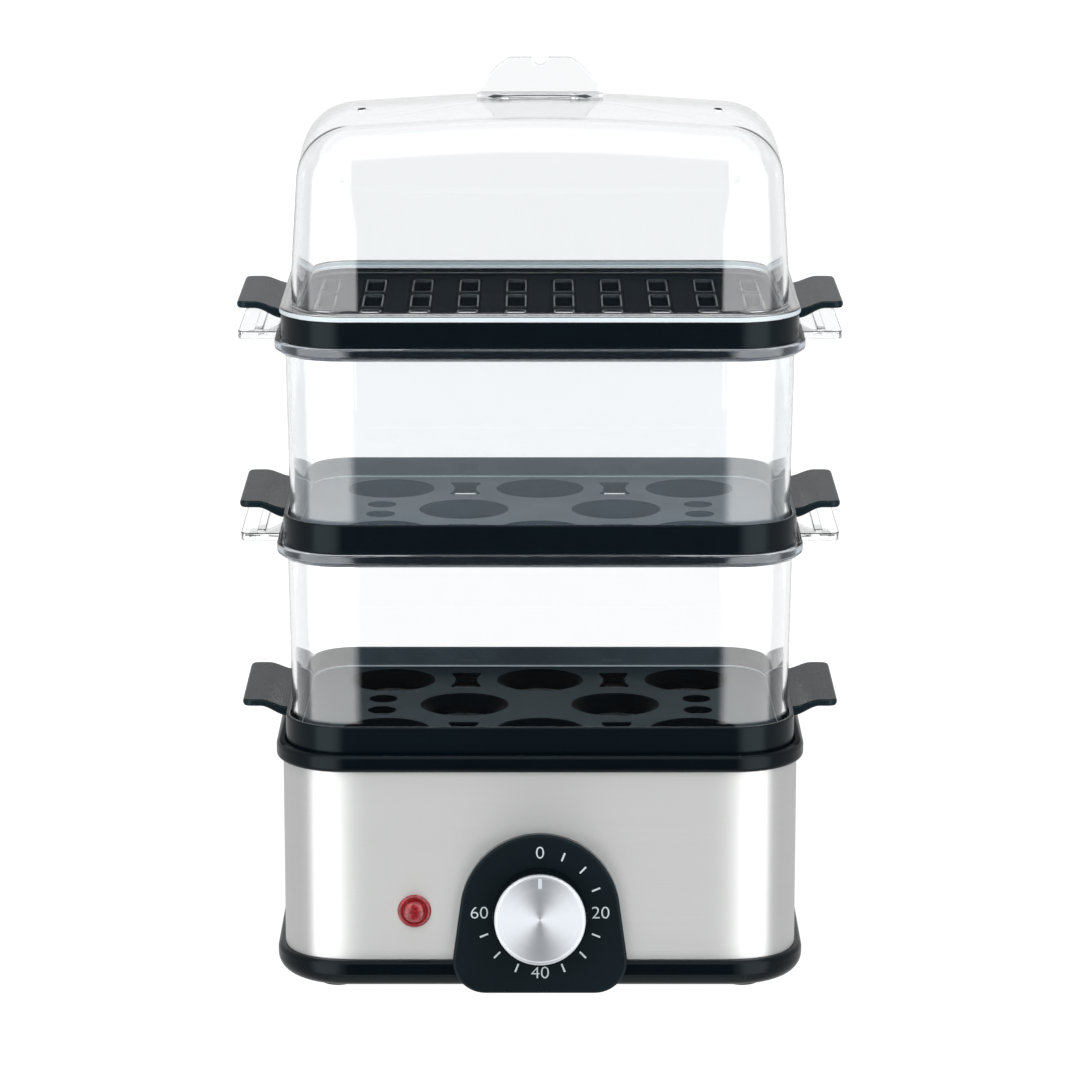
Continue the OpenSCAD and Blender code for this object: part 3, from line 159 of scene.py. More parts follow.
class Shader(Tree):
    """One material and the nodes that are laid in it."""

    def __init__(self, name: str, sockets: dict) -> None:
        """Make the material with a principled shader at its output.

        Args:
            name: name of the material.
            sockets: plain values of the shader's sockets.
        """
        self.material = bpy.data.materials.new(name)
        self.material.use_nodes = True
        super().__init__(self.material.node_tree)
        self.output = self.node("ShaderNodeOutputMaterial")
        self.surface = self.node("ShaderNodeBsdfPrincipled", sockets)
        self.show(self.surface.outputs["BSDF"])

    def show(self, shader: Socket) -> None:
        """Put a shader at the material's output."""
        self.feed(shader, self.output.inputs["Surface"])

    def mix(self, share: Socket, one: Socket, two: Socket) -> Socket:
        """Return a shader that turns from one into another by a share."""
        return self.node("ShaderNodeMixShader", {0: share, 1: one, 2: two}).outputs[0]

    def place(self, scale: Triple = (1.0, 1.0, 1.0), layer: str = "") -> Socket:
        """Return coordinates fixed to the piece, or its own UV map, scaled.

        Args:
            scale: how much each axis is multiplied by.
            layer: UV map to read, or nothing for the object's own coordinates.

        Returns:
            The coordinates.
        """
        if layer:
            source = self.node("ShaderNodeUVMap", uv_map=layer).outputs["UV"]
        else:
            source = self.node("ShaderNodeTexCoord").outputs["Object"]
        return self.node("ShaderNodeMapping", {"Vector": source, "Scale": scale}).outputs["Vector"]

    def noise(self, place: Socket, scale: float, detail: float, rough: float = 0.55) -> Socket:
        """Return a noise texture on the given coordinates."""
        sockets = {"Vector": place, "Scale": scale, "Detail": detail, "Roughness": rough}
        return self.node("ShaderNodeTexNoise", sockets).outputs[0]

    def spread(self, source: Socket, low: float, high: float) -> None:
        """Vary the roughness by a texture.

        Args:
            source: the texture.
            low: roughness where it is dark.
            high: roughness where it is light.
        """
        sockets = {"Value": source, "From Min": 0.3, "From Max": 0.7, "To Min": low, "To Max": high}
        ranged = self.node("ShaderNodeMapRange", sockets)
        self.feed(ranged.outputs["Result"], self.surface.inputs["Roughness"])

    def tint(self, source: Socket, one: Colour, two: Colour) -> None:
        """Vary the base colour by a texture.

        Args:
            source: the texture.
            one: colour where it is dark.
            two: colour where it is light.
        """
        ramp = self.node("ShaderNodeValToRGB", {"Fac": source})
        for number, (position, colour) in enumerate(((0.35, one), (0.65, two))):
            ramp.color_ramp.elements[number].position = position
            ramp.color_ramp.elements[number].color = (*colour, 1.0)
        self.feed(ramp.outputs["Color"], self.surface.inputs["Base Color"])

    def bump(
        self, source: Socket, depth: float, strength: float, below: Socket | None = None,
    ) -> Socket:
        """Raise the surface by a texture.

        Args:
            source: texture that gives the height.
            depth: height of the relief in metres.
            strength: share of it that shows.
            below: another bump that this one lies on.

        Returns:
            The bump, joined to the principled shader.
        """
        made = self.node("ShaderNodeBump", {"Height": source, "Distance": depth, "Strength": strength})
        if below is not None:
            self.feed(below, made.inputs["Normal"])
        self.feed(made.outputs["Normal"], self.surface.inputs["Normal"])
        return made.outputs["Normal"]


@dataclass(frozen=True)
class Finish:
    """A plain finish with a slight mottling, a fine grain and uneven gloss."""

    name: str
    colour: Colour
    roughness: float = 0.5
    metallic: float = 0.0
    specular: float = 0.5
    coat: float = 0.0
    mottle: float = 0.12
    clouds: float = 55.0
    grain: float = 2600.0
    relief: float = 0.00001
    uneven: float = 0.06

    def shade(self, share: float) -> Colour:
        """Return the colour, lighter or darker by a share."""
        return tuple(min(1.0, max(0.0, part * (1.0 + share))) for part in self.colour)

    def vary(self, made: Shader, clouds: Socket, gloss: Socket) -> None:
        """Vary a material's colour by one texture and its gloss by another."""
        made.tint(clouds, self.shade(-self.mottle), self.shade(self.mottle))
        made.spread(gloss, self.roughness - self.uneven, self.roughness + self.uneven)

    def build(self) -> bpy.types.Material:
        """Make the material.

        Returns:
            The material.
        """
        made = Shader(self.name, {
            "Metallic": self.metallic, "Specular IOR Level": self.specular, "Coat Weight": self.coat,
        })
        place = made.place()
        broad = made.noise(place, self.clouds, 3.0)
        self.vary(made, broad, broad)
        made.bump(made.noise(place, self.grain, 3.0), self.relief, 0.35)
        return made.material


@dataclass(frozen=True)
class Moulded(Finish):
    """Moulded plastic with an etched skin, faint handling marks and a cool sheen."""

    clouds: float = 32.0
    relief: float = 0.0000005
    uneven: float = 0.02
    mould: float = 1700.0
    sheen: Colour = (0.8, 0.95, 1.0)

    def build(self) -> bpy.types.Material:
        """Make the material.

        Returns:
            The material.
        """
        made = Shader(self.name, {
            "Specular IOR Level": self.specular, "Coat Weight": self.coat,
            "Specular Tint": (*self.sheen, 1.0),
        })
        place = made.place()
        skin = made.noise(place, self.mould, 2.0)
        self.vary(made, made.noise(place, self.clouds, 4.0), skin)
        below = made.bump(skin, self.relief * 2.0, 0.25)
        made.bump(made.noise(place, self.grain, 2.0), self.relief, 0.3, below)
        return made.material


@dataclass(frozen=True)
class Brushed(Finish):
    """Metal with a long grain that runs along the u of its UV map."""

    along: float = 14.0
    across: float = 7000.0
    detail: float = 5.0
    cloudy: bool = True
    cloud: Pair = (2.2, 260.0)
    strength: float = 0.4
    stretch: float = 0.9

    def build(self) -> bpy.types.Material:
        """Make the material.

        Returns:
            The material.
        """
        made = Shader(self.name, {
            "Metallic": 1.0, "Anisotropic": self.stretch, "Anisotropic Rotation": 0.25,
        })
        streak = made.noise(made.place((self.along, self.across, 1.0), "Run"), 1.0, self.detail, 0.7)
        cloud = made.noise(made.place((*self.cloud, 1.0), "Run"), 1.0, 3.0) if self.cloudy else streak
        self.vary(made, streak, cloud)
        made.bump(streak, self.relief, self.strength)
        grain = made.node("ShaderNodeTangent", direction_type="UV_MAP", uv_map="Run")
        made.feed(grain.outputs["Tangent"], made.surface.inputs["Tangent"])
        return made.material


@dataclass(frozen=True)
class Clear(Finish):
    """Clear moulded plastic that lets lamp light through, with a breath of haze."""

    roughness: float = 0.0
    mottle: float = 0.002
    relief: float = 0.000001
    bend: float = 1.49
    wave: float = 60.0
    haze: float = 0.003
    shadow: float = 0.03

    def build(self) -> bpy.types.Material:
        """Make the material, which is see-through for lamp and bounce light.

        Returns:
            The material.
        """
        made = Shader(self.name, {
            "Transmission Weight": 1.0 - self.haze, "IOR": self.bend, "Roughness": self.roughness,
        })
        slow = made.noise(made.place(), self.wave, 2.0)
        made.tint(slow, self.shade(-self.mottle), self.colour)
        made.bump(slow, self.relief, 0.1)
        path = made.node("ShaderNodeLightPath").outputs
        either = made.math("MAXIMUM", path["Is Shadow Ray"], path["Is Diffuse Ray"])
        through = made.node("ShaderNodeBsdfTransparent", {"Color": (*self.shade(-self.shadow), 1.0)})
        made.show(made.mix(either, made.surface.outputs["BSDF"], through.outputs["BSDF"]))
        return made.material


@dataclass(frozen=True)
class RedLens(Finish):
    """Red see-through plastic with pressed dimples at its back."""

    dimples: float = 900.0
    through: float = 0.35
    bend: float = 1.49
    polish: float = 0.03

    def build(self) -> bpy.types.Material:
        """Make the material.

        Returns:
            The material.
        """
        made = Shader(self.name, {
            "Transmission Weight": self.through, "IOR": self.bend,
            "Coat Weight": self.coat, "Coat Roughness": self.polish,
        })
        sockets = {"Vector": made.place(), "Scale": self.dimples}
        cells = made.node("ShaderNodeTexVoronoi", sockets).outputs[0]
        made.tint(cells, self.shade(-self.mottle), self.shade(self.mottle))
        made.spread(cells, self.roughness, self.roughness + self.uneven)
        made.bump(cells, self.relief, 0.4)
        return made.material


FINISHES: dict[Slot, Finish] = {
    Slot.BLACK: Moulded("satin_black", (0.0008, 0.0028, 0.0048), 0.2, specular=0.2, relief=0.0000004),
    Slot.TRAY: Moulded("tray_black", (0.0012, 0.0042, 0.0066), 0.22, specular=0.22, relief=0.0000004),
    Slot.CLEAR: Clear("clear_moulding", (0.975, 0.981, 0.985), haze=0.0008),
    Slot.BAND: Brushed("brushed_steel", (0.86, 0.87, 0.86), mottle=0.02, relief=0.000001, uneven=0.02),
    Slot.PAN: Finish(
        "pan_steel_satin", (0.6, 0.61, 0.61), 0.3, 1.0, mottle=0.02, relief=0.0000005, uneven=0.02,
    ),
    Slot.SHEET: Finish("rolled_sheet", (0.5, 0.5, 0.49), 0.38, 1.0, mottle=0.08, relief=0.000006),
    Slot.ZINC: Finish("zinc_plate", (0.55, 0.56, 0.57), 0.33, 1.0, mottle=0.1, relief=0.000004),
    Slot.PLATE: Finish("cast_alloy", (0.42, 0.42, 0.41), 0.5, 1.0, mottle=0.14, grain=1500.0, relief=0.00003),
    Slot.KNOB: Brushed(
        "turned_alloy", (0.7, 0.735, 0.775), 0.36, mottle=0.03, relief=0.0000015, uneven=0.04,
        along=2.0, across=3400.0, detail=4.0, cloudy=False, strength=0.35, stretch=0.86,
    ),
    Slot.ELEMENT: Finish("element_oxide", (0.19, 0.17, 0.15), 0.45, 0.9, mottle=0.2),
    Slot.BRASS: Finish("turned_brass", (0.62, 0.44, 0.17), 0.28, 1.0, mottle=0.1, relief=0.000004),
    Slot.RUBBER: Finish("foot_rubber", (0.008, 0.008, 0.009), 0.7, specular=0.25, relief=0.00002),
    Slot.SEAL: Finish("silicone_seal", (0.42, 0.42, 0.4), 0.55, specular=0.4),
    Slot.DARK: Finish("phenolic_dark", (0.03, 0.025, 0.022), 0.42),
    Slot.PALE: Finish("housing_pale", (0.62, 0.6, 0.54), 0.48, mottle=0.05),
    Slot.LENS: RedLens("lens_red", (0.5, 0.02, 0.03), 0.16, coat=0.7, mottle=0.35, relief=0.00006),
    Slot.LAMP: Finish("neon_glass", (0.7, 0.66, 0.62), 0.08, relief=0.000002),
    Slot.BLUE: Finish("wire_blue_pvc", (0.02, 0.09, 0.32), 0.42, relief=0.000008),
    Slot.BROWN: Finish("wire_brown_pvc", (0.16, 0.06, 0.025), 0.42, relief=0.000008),
    Slot.WHITE: Finish("wire_white_braid", (0.66, 0.65, 0.6), 0.6, grain=1800.0, relief=0.00003),
    Slot.GREEN: Finish("wire_green_pvc", (0.04, 0.26, 0.06), 0.42, relief=0.000008),
}
INK = Finish("dial_ink", (0.74, 0.75, 0.76), mottle=0.04, relief=0.000002)
# Painted highlight: the slot rims are the tray's black made far lighter, for the light that their raised
# edges catch; their gloss is real.
RIM = Moulded("slot_rim_painted_highlight", (0.02, 0.024, 0.027), 0.3, specular=0.6, relief=0.000002, uneven=0.06)
GRIP = Moulded("handle_black", (0.002, 0.0085, 0.012), 0.3, specular=0.26, uneven=0.06)
# Painted sheen: the dial panel is the satin black made lighter, for the light that its leaning face reflects.
PANEL_SHEEN = Moulded("panel_painted_sheen", (0.0055, 0.0095, 0.0125), 0.3, specular=0.15)
MATT = Moulded("tray_floor_matt", (0.0036, 0.0088, 0.0135), 0.6, specular=0.012)
# Painted sheen: the lower egg tray's floor is the tray's black made lighter, for the grazing reflection on
# it.
FLOOR_SHEEN = Moulded("egg_tray_floor", (0.028, 0.048, 0.06), specular=0.07)
# Painted light: the back wall inside the lower egg tray is the tray's black made much lighter, for the light
# on the side that faces the front.
BACK_WALL_LIGHT = Moulded("egg_tray_back_wall_painted_light", (0.105, 0.13, 0.148), specular=0.07)
# Painted sheen: the middle egg tray's floor is made grey, for the grazing reflection on it.
MIDDLE_FLOOR_SHEEN = Moulded("egg_tray_floor_middle_sheen", (0.21, 0.235, 0.26), specular=0.07)
# Painted sheen: the middle egg tray's seats and back wall are made lighter and bluer than the lower tray's
# seats.
MIDDLE_SEAT_WALL_SHEEN = Moulded("egg_dish_middle_sheen", (0.012, 0.032, 0.056), 0.6, specular=0.02)
# Painted shade: the lower egg tray's seats and what lies below its floor are darker than the tray's black,
# for the shade in the hollows.
DISH_SHADE = Moulded("egg_dish_painted_shade", (0.0006, 0.002, 0.0036), 0.6, specular=0.02)
# Painted shadow: a dark strip for the dark line along the front of the tab's foot plate.
SHADOW_STRIP = Finish("tab_shadow_line", (0.08, 0.085, 0.09), specular=0.3, relief=0.000004)
HAZY = Clear("clear_hazy", (0.978, 0.99, 0.999), haze=0.05)
LIDDED = Clear("clear_lid", (0.93, 0.94, 0.948))
TABBED = Clear("clear_tab", (0.86, 0.873, 0.876))
# Painted shade: the tier collar's face is a dark bluish clear, for the black skirt seen dark through it.
COLLAR_SHADE = Clear("clear_collar_painted_shade", (0.5, 0.56, 0.64), haze=0.01)
# Painted light: an opaque white for the bright edges of clear parts, where light runs through the plastic.
EDGE_LIGHT = Finish("clear_edge_painted_light", (0.9, 0.93, 0.95), 0.3, mottle=0.02, relief=0.000002)

PAINTS: dict[str, bpy.types.Material] = {}


def paint(finish: Finish) -> bpy.types.Material:
    """Return a finish's material, made the first time it is asked for.

    Args:
        finish: the finish.

    Returns:
        The material.
    """
    if finish.name not in PAINTS:
        PAINTS[finish.name] = finish.build()
    return PAINTS[finish.name]


@dataclass(frozen=True)
class Plan:
    """Rounded rectangle that every level follows, by the centres of its corners."""

    axis_x: float = 83.0
    axis_y: float = 44.0
    shift_y: float = 11.919309
    steps: int = 20

    def stations(self, long_steps: int = 1, short_steps: int = 1) -> list[Station]:
        """List the corner centre and the outward direction at each step round the plan.

        Args:
            long_steps: how many parts the long sides have.
            short_steps: how many parts the short sides have.

        Returns:
            Stations in order, seen from above against the clock.
        """
        corners = ((1, 1), (-1, 1), (-1, -1), (1, -1))
        made: list[Station] = []
        for turn, (sign_x, sign_y) in enumerate(corners):
            for step in range(self.steps + 1):
                angle = math.radians(90.0 * (turn + step / self.steps))
                made.append((sign_x * self.axis_x, sign_y * self.axis_y, math.cos(angle), math.sin(angle)))
            next_x, next_y = corners[(turn + 1) % 4]
            parts = long_steps if turn % 2 == 0 else short_steps
            _, _, out_x, out_y = made[-1]
            for part in range(1, parts):
                share = part / parts
                x = self.axis_x * (sign_x + (next_x - sign_x) * share)
                y = self.axis_y * (sign_y + (next_y - sign_y) * share)
                made.append((x, y, out_x, out_y))
        return made

    def eased(self, radius: float, ease: float) -> list[Station]:
        """List stations whose corners grow out of the straight sides without a break.

        Args:
            radius: corner radius at which the outline keeps its width and its diagonal.
            ease: how far each corner reaches into the straight sides.

        Returns:
            Stations in order, seen from above against the clock.
        """
        reach = radius + ease
        power = math.log(0.5) / math.log(1.0 - radius * (1.0 - math.sqrt(0.5)) / reach)
        made: list[Station] = []
        for sign_x, sign_y, flip in ((1, 1, False), (-1, 1, True), (-1, -1, False), (1, -1, True)):
            quarter: list[Station] = []
            for step in range(2 * self.steps + 1):
                angle = math.radians(90.0 * step / (2 * self.steps))
                c, t = math.cos(angle) ** (2.0 / power), math.sin(angle) ** (2.0 / power)
                away = Vector((c ** (power - 1.0), t ** (power - 1.0))).normalized()
                x = self.axis_x - ease + reach * c - radius * away.x
                y = self.axis_y - ease + reach * t - radius * away.y
                quarter.append((sign_x * x, sign_y * y, sign_x * away.x, sign_y * away.y))
            made += quarter[::-1] if flip else quarter
        return made

    def outline(self, radius: float) -> Loop:
        """Return the plan's outline at a corner radius."""
        return [(x + radius * nx, y + radius * ny) for x, y, nx, ny in self.stations()]


PLAN = Plan()
# Heights of the trays' rims, and how far a tier's foot stands below the rim of its tray.
LOW_RIM, MIDDLE_RIM, TOP_RIM = 119.4, 207.6, 294.4
TIER_DROP = 8.5


def ring_stations(count: int) -> list[Station]:
    """Return directions round the axis for a turned shape."""
    angles = [math.tau * k / count for k in range(count)]
    return [(0.0, 0.0, math.cos(a), math.sin(a)) for a in angles]


def rounded(corners: list[Triple], steps: int = 3) -> Loop:
    """Round the corners of a closed loop.

    Args:
        corners: each corner with its radius, zero for a sharp one.
        steps: how many parts each rounding has.

    Returns:
        The loop with its roundings.
    """
    made: Loop = []
    for index, (x, y, radius) in enumerate(corners):
        if radius <= 0.0:
            made.append((x, y))
            continue
        here = Vector((x, y))
        to_before = (Vector(corners[index - 1][:2]) - here).normalized()
        to_after = (Vector(corners[(index + 1) % len(corners)][:2]) - here).normalized()
        half = to_before.angle(to_after) / 2.0
        centre = here + (to_before + to_after).normalized() * (radius / math.sin(half))
        start = here + to_before * (radius / math.tan(half)) - centre
        end = here + to_after * (radius / math.tan(half)) - centre
        first = math.atan2(start.y, start.x)
        turn = (math.atan2(end.y, end.x) - first + math.pi) % math.tau - math.pi
        for step in range(steps + 1):
            angle = first + turn * step / steps
            made.append((centre.x + radius * math.cos(angle), centre.y + radius * math.sin(angle)))
    return made


def arc(centre: Pair, radius: float, start: float, end: float, steps: int) -> Loop:
    """Return points of an arc between two angles in degrees."""
    angles = [math.radians(start + (end - start) * step / steps) for step in range(steps + 1)]
    return [(centre[0] + radius * math.cos(a), centre[1] + radius * math.sin(a)) for a in angles]


def box_loop(wide: float, deep: float, radius: float, centre: Pair = (0.0, 0.0), steps: int = 5) -> Loop:
    """Return a rounded rectangle.

    Args:
        wide: its size along x.
        deep: its size along y.
        radius: radius of its corners.
        centre: its middle.
        steps: how many parts each rounding has.

    Returns:
        The outline, against the clock.
    """
    x, y = wide / 2.0, deep / 2.0
    loop = rounded([(-x, -y, radius), (x, -y, radius), (x, y, radius), (-x, y, radius)], steps)
    return [(centre[0] + px, centre[1] + py) for px, py in loop]


def circle_loop(radius: float, centre: Pair = (0.0, 0.0), count: int = 64) -> Loop:
    """Return a circle, against the clock."""
    return [(centre[0] + radius * nx, centre[1] + radius * ny) for _, _, nx, ny in ring_stations(count)]


def shifted(loop: Loop, depth: float) -> Loop:
    """Move a loop towards its left side, which is where its material is.

    Args:
        loop: points of the loop.
        depth: how far it moves.

    Returns:
        The moved loop.
    """
    made: Loop = []
    for index, (x, y) in enumerate(loop):
        px, py = loop[index - 1]
        qx, qy = loop[(index + 1) % len(loop)]
        one = Vector((py - y, x - px)).normalized()
        two = Vector((y - qy, qx - x)).normalized()
        away = (one + two) / (1.0 + one.dot(two))
        made.append((x + away.x * depth, y + away.y * depth))
    return made


def put(name: str, data: bpy.types.ID) -> Piece:
    """Put new object data into the scene.

    Args:
        name: name of the object.
        data: its mesh, curve, lamp or camera.

    Returns:
        The object.
    """
    made = bpy.data.objects.new(name, data)
    bpy.context.scene.collection.objects.link(made)
    return made


class Solid:
    """Points and faces in millimetres in the cooker's own frame, made into one mesh."""

    def __init__(self, place: Matrix | None = None) -> None:
        """Start empty.

        Args:
            place: turns and moves every point that is added.
        """
        self.place = place or Matrix.Identity(4)
        self.points: list[Vector] = []
        self.faces: list[tuple[int, ...]] = []
        self.runs: list[tuple[Pair, ...]] = []

    def add(self, points: list[Triple], faces: list[tuple[int, ...]], runs: list | None = None) -> None:
        """Add points and the faces between them.

        Args:
            points: new points.
            faces: faces by the numbers of the new points.
            runs: UV places of each face's corners.
        """
        start = len(self.points)
        self.points += [self.place @ Vector(point) for point in points]
        self.faces += [tuple(start + number for number in face) for face in faces]
        self.runs += runs or [tuple((0.0, 0.0) for _ in face) for face in faces]

    def skin(
        self, rows: list[list[Triple]], around: bool = True, across: bool = True, run: tuple | None = None,
    ) -> None:
        """Join rows of points with quads.

        Args:
            rows: rows with equally many points.
            around: whether the last row joins the first.
            across: whether each row closes on itself.
            run: UV values of the rows and of the columns, with one more of each for the seam.
        """
        high, wide = len(rows), len(rows[0])
        faces, runs = [], []
        for i in range(high if around else high - 1):
            for j in range(wide if across else wide - 1):
                i2, j2 = (i + 1) % high, (j + 1) % wide
                faces.append((i * wide + j, i2 * wide + j, i2 * wide + j2, i * wide + j2))
                if run:
                    u, v = run
                    runs.append(((u[i], v[j]), (u[i + 1], v[j]), (u[i + 1], v[j + 1]), (u[i], v[j + 1])))
        self.add([point for row in rows for point in row], faces, runs or None)

    def sweep(
        self, profile: Loop, stations: list[Station], closed: bool = True, run: tuple | None = None,
    ) -> None:
        """Carry a profile of radius and height round a plan.

        Args:
            profile: radius and height of each point.
            stations: where the profile goes.
            closed: whether the profile closes on itself.
            run: UV values, as for skin.
        """
        rows = [[(x + r * nx, y + r * ny, z) for r, z in profile] for x, y, nx, ny in stations]
        self.skin(rows, True, closed, run)

    def cap(self, loops: list[Loop], height: float, up: bool) -> None:
        """Fill a flat region.

        Args:
            loops: the outer loop and then its holes.
            height: where the region lies.
            up: whether it faces up.
        """
        flat = [point for loop in loops for point in loop]
        least = 1e-9
        faces = []
        for a, b, c in tessellate_polygon([[Vector((x, y, 0.0)) for x, y in loop] for loop in loops]):
            (ax, ay), (bx, by), (cx, cy) = flat[a], flat[b], flat[c]
            area = (bx - ax) * (cy - ay) - (by - ay) * (cx - ax)
            if abs(area) > least:
                faces.append((a, b, c) if (area > 0.0) == up else (a, c, b))
        self.add([(x, y, height) for x, y in flat], faces)

    def plate(
        self, outer: Loop, holes: list[Loop], top: float, low: float,
        edge: float = 0.3, low_edge: float = 0.0, bare: list[Loop] | None = None,
    ) -> None:
        """Build a flat plate with rounded edges.

        Args:
            outer: its outline, against the clock.
            holes: outlines of its holes, against the clock.
            top: height of its upper face.
            low: height of its lower face.
            edge: radius of its upper edges.
            low_edge: radius of its lower edges.
            bare: outlines of holes without walls, which another shape closes.
        """
        walls = [outer] + [hole[::-1] for hole in holes]
        open_loops = [hole[::-1] for hole in bare or []]
        angles = [math.radians(30.0 * k) for k in range(4)]
        levels = [(edge * (1.0 - math.sin(a)), top - edge * (1.0 - math.cos(a))) for a in angles]
        if edge <= 0.0:
            levels = [(0.0, top)]
        if low_edge > 0.0:
            levels += [(low_edge * (1.0 - math.cos(a)), low + low_edge * (1.0 - math.sin(a))) for a in angles]
        else:
            levels.append((0.0, low))
        for loop in walls:
            rows = [[(x, y, z) for x, y in shifted(loop, depth)] for depth, z in levels]
            self.skin(rows[::-1], False, True)
        self.cap([shifted(loop, levels[0][0]) for loop in walls] + open_loops, top, True)
        self.cap([shifted(loop, levels[-1][0]) for loop in walls] + open_loops, low, False)

    def loft(self, sections: list[list[Triple]]) -> None:
        """Join closed sections and close both ends.

        Args:
            sections: outlines with equally many points, in order.
        """
        self.skin(sections, False, True)
        for section in (sections[0], sections[-1]):
            self.add(section, [tuple(range(len(section)))])

    def piece(self, name: str) -> Piece:
        """Make the mesh object, welded, with its faces outwards.

        Args:
            name: name of the object.

        Returns:
            The object, at the origin.
        """
        mesh = bpy.data.meshes.new(name)
        lift = Vector((0.0, PLAN.shift_y, 0.0))
        mesh.from_pydata([(point + lift) * MM for point in self.points], [], self.faces)
        layer = mesh.uv_layers.new(name="Run")
        layer.data.foreach_set("uv", [part for run in self.runs for spot in run for part in spot])
        made = put(name, mesh)
        weld(made)
        return made


def weld(item: Piece, reach: float = 0.000002) -> None:
    """Merge doubled points and turn all faces outwards.

    Args:
        item: object that is changed.
        reach: distance under which points merge, in metres.
    """
    shape = bmesh.new()
    shape.from_mesh(item.data)
    bmesh.ops.remove_doubles(shape, verts=shape.verts, dist=reach)
    bmesh.ops.dissolve_degenerate(shape, edges=shape.edges, dist=reach / 4.0)
    loose = [vert for vert in shape.verts if not vert.link_faces]
    bmesh.ops.delete(shape, geom=loose, context="VERTS")
    bmesh.ops.recalc_face_normals(shape, faces=shape.faces)
    shape.to_mesh(item.data)
    shape.free()


def settle(item: Piece) -> None:
    """Turn an object's modifiers into its own plain mesh.

    Args:
        item: object that is changed.
    """
    graph = bpy.context.evaluated_depsgraph_get()
    source = item.evaluated_get(graph)
    mesh = bpy.data.meshes.new_from_object(source, preserve_all_data_layers=True, depsgraph=graph)
    item.modifiers.clear()
    item.data = mesh


def combine(item: Piece, tools: list[Piece], way: Cut) -> None:
    """Join solids to a piece or take them from it.

    Args:
        item: object that is changed.
        tools: objects used for it, which are removed.
        way: what they do.
    """
    for number, tool in enumerate(tools):
        step = item.modifiers.new(f"step_{number}", "BOOLEAN")
        step.operation = way.value
        step.solver = "EXACT"
        step.object = tool
    settle(item)
    for tool in tools:
        bpy.data.objects.remove(tool)


def gather(item: Piece, others: list[Piece], reach: float = 0.000005) -> None:
    """Put other objects' meshes into one object and weld what touches.

    Args:
        item: object that takes the meshes.
        others: objects that are removed afterwards.
        reach: distance under which points merge, in metres.
    """
    shape = bmesh.new()
    for source in [item] + others:
        shape.from_mesh(source.data)
    mesh = bpy.data.meshes.new(item.name)
    shape.to_mesh(mesh)
    shape.free()
    item.data = mesh
    for other in others:
        bpy.data.objects.remove(other)
    weld(item, reach)


@dataclass(frozen=True)
class Zone:
    """Box in the cooker's own frame whose faces have a finish of their own."""

    finish: Finish
    low: Triple
    high: Triple
    slope: Pair = (-1.0, 1.0)

    def holds(self, face: bpy.types.MeshPolygon) -> bool:
        """Tell whether a face lies in the box and faces upwards within the slope's limits.

        Args:
            face: the face.

        Returns:
            Whether it takes the zone's finish.
        """
        spot = face.center / MM - Vector((0.0, PLAN.shift_y, 0.0))
        inside = all(self.low[k] <= spot[k] <= self.high[k] for k in range(3))
        return inside and self.slope[0] <= face.normal.z <= self.slope[1]


def level_zone(finish: Finish, reach: Pair, low: float, high: float, slope: Pair = (-1.0, 1.0)) -> Zone:
    """Return a zone between two heights that reaches equally far to opposite sides."""
    return Zone(finish, (-reach[0], -reach[1], low), (reach[0], reach[1], high), slope)


def place_piece(
    item: Piece, finish: Finish, body: Part,
    nodes: tuple[str, ...] = (), sharp: float = 38.0, zones: tuple[Zone, ...] = (),
) -> None:
    """Give a piece its finish, its shading and its place in the model.

    Args:
        item: the piece.
        finish: its finish.
        body: body that it moves with.
        nodes: solids that it stands for.
        sharp: angle in degrees above which an edge stays crisp.
        zones: boxes whose faces have another finish.
    """
    item.data.materials.clear()
    for coat in (finish, *(zone.finish for zone in zones)):
        item.data.materials.append(paint(coat))
    for face in item.data.polygons:
        face.material_index = next((k for k, zone in enumerate(zones, 1) if zone.holds(face)), 0)
    item.data.shade_smooth()
    item.data.set_sharp_from_angle(angle=math.radians(sharp))
    even = item.modifiers.new("even", "WEIGHTED_NORMAL")
    even.mode = "FACE_AREA"
    even.keep_sharp = True
    settle(item)
    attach(item, body.value)
    if nodes:
        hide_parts(*nodes)
    LOG.info("%s: %d faces on %s", item.name, len(item.data.polygons), body.value)


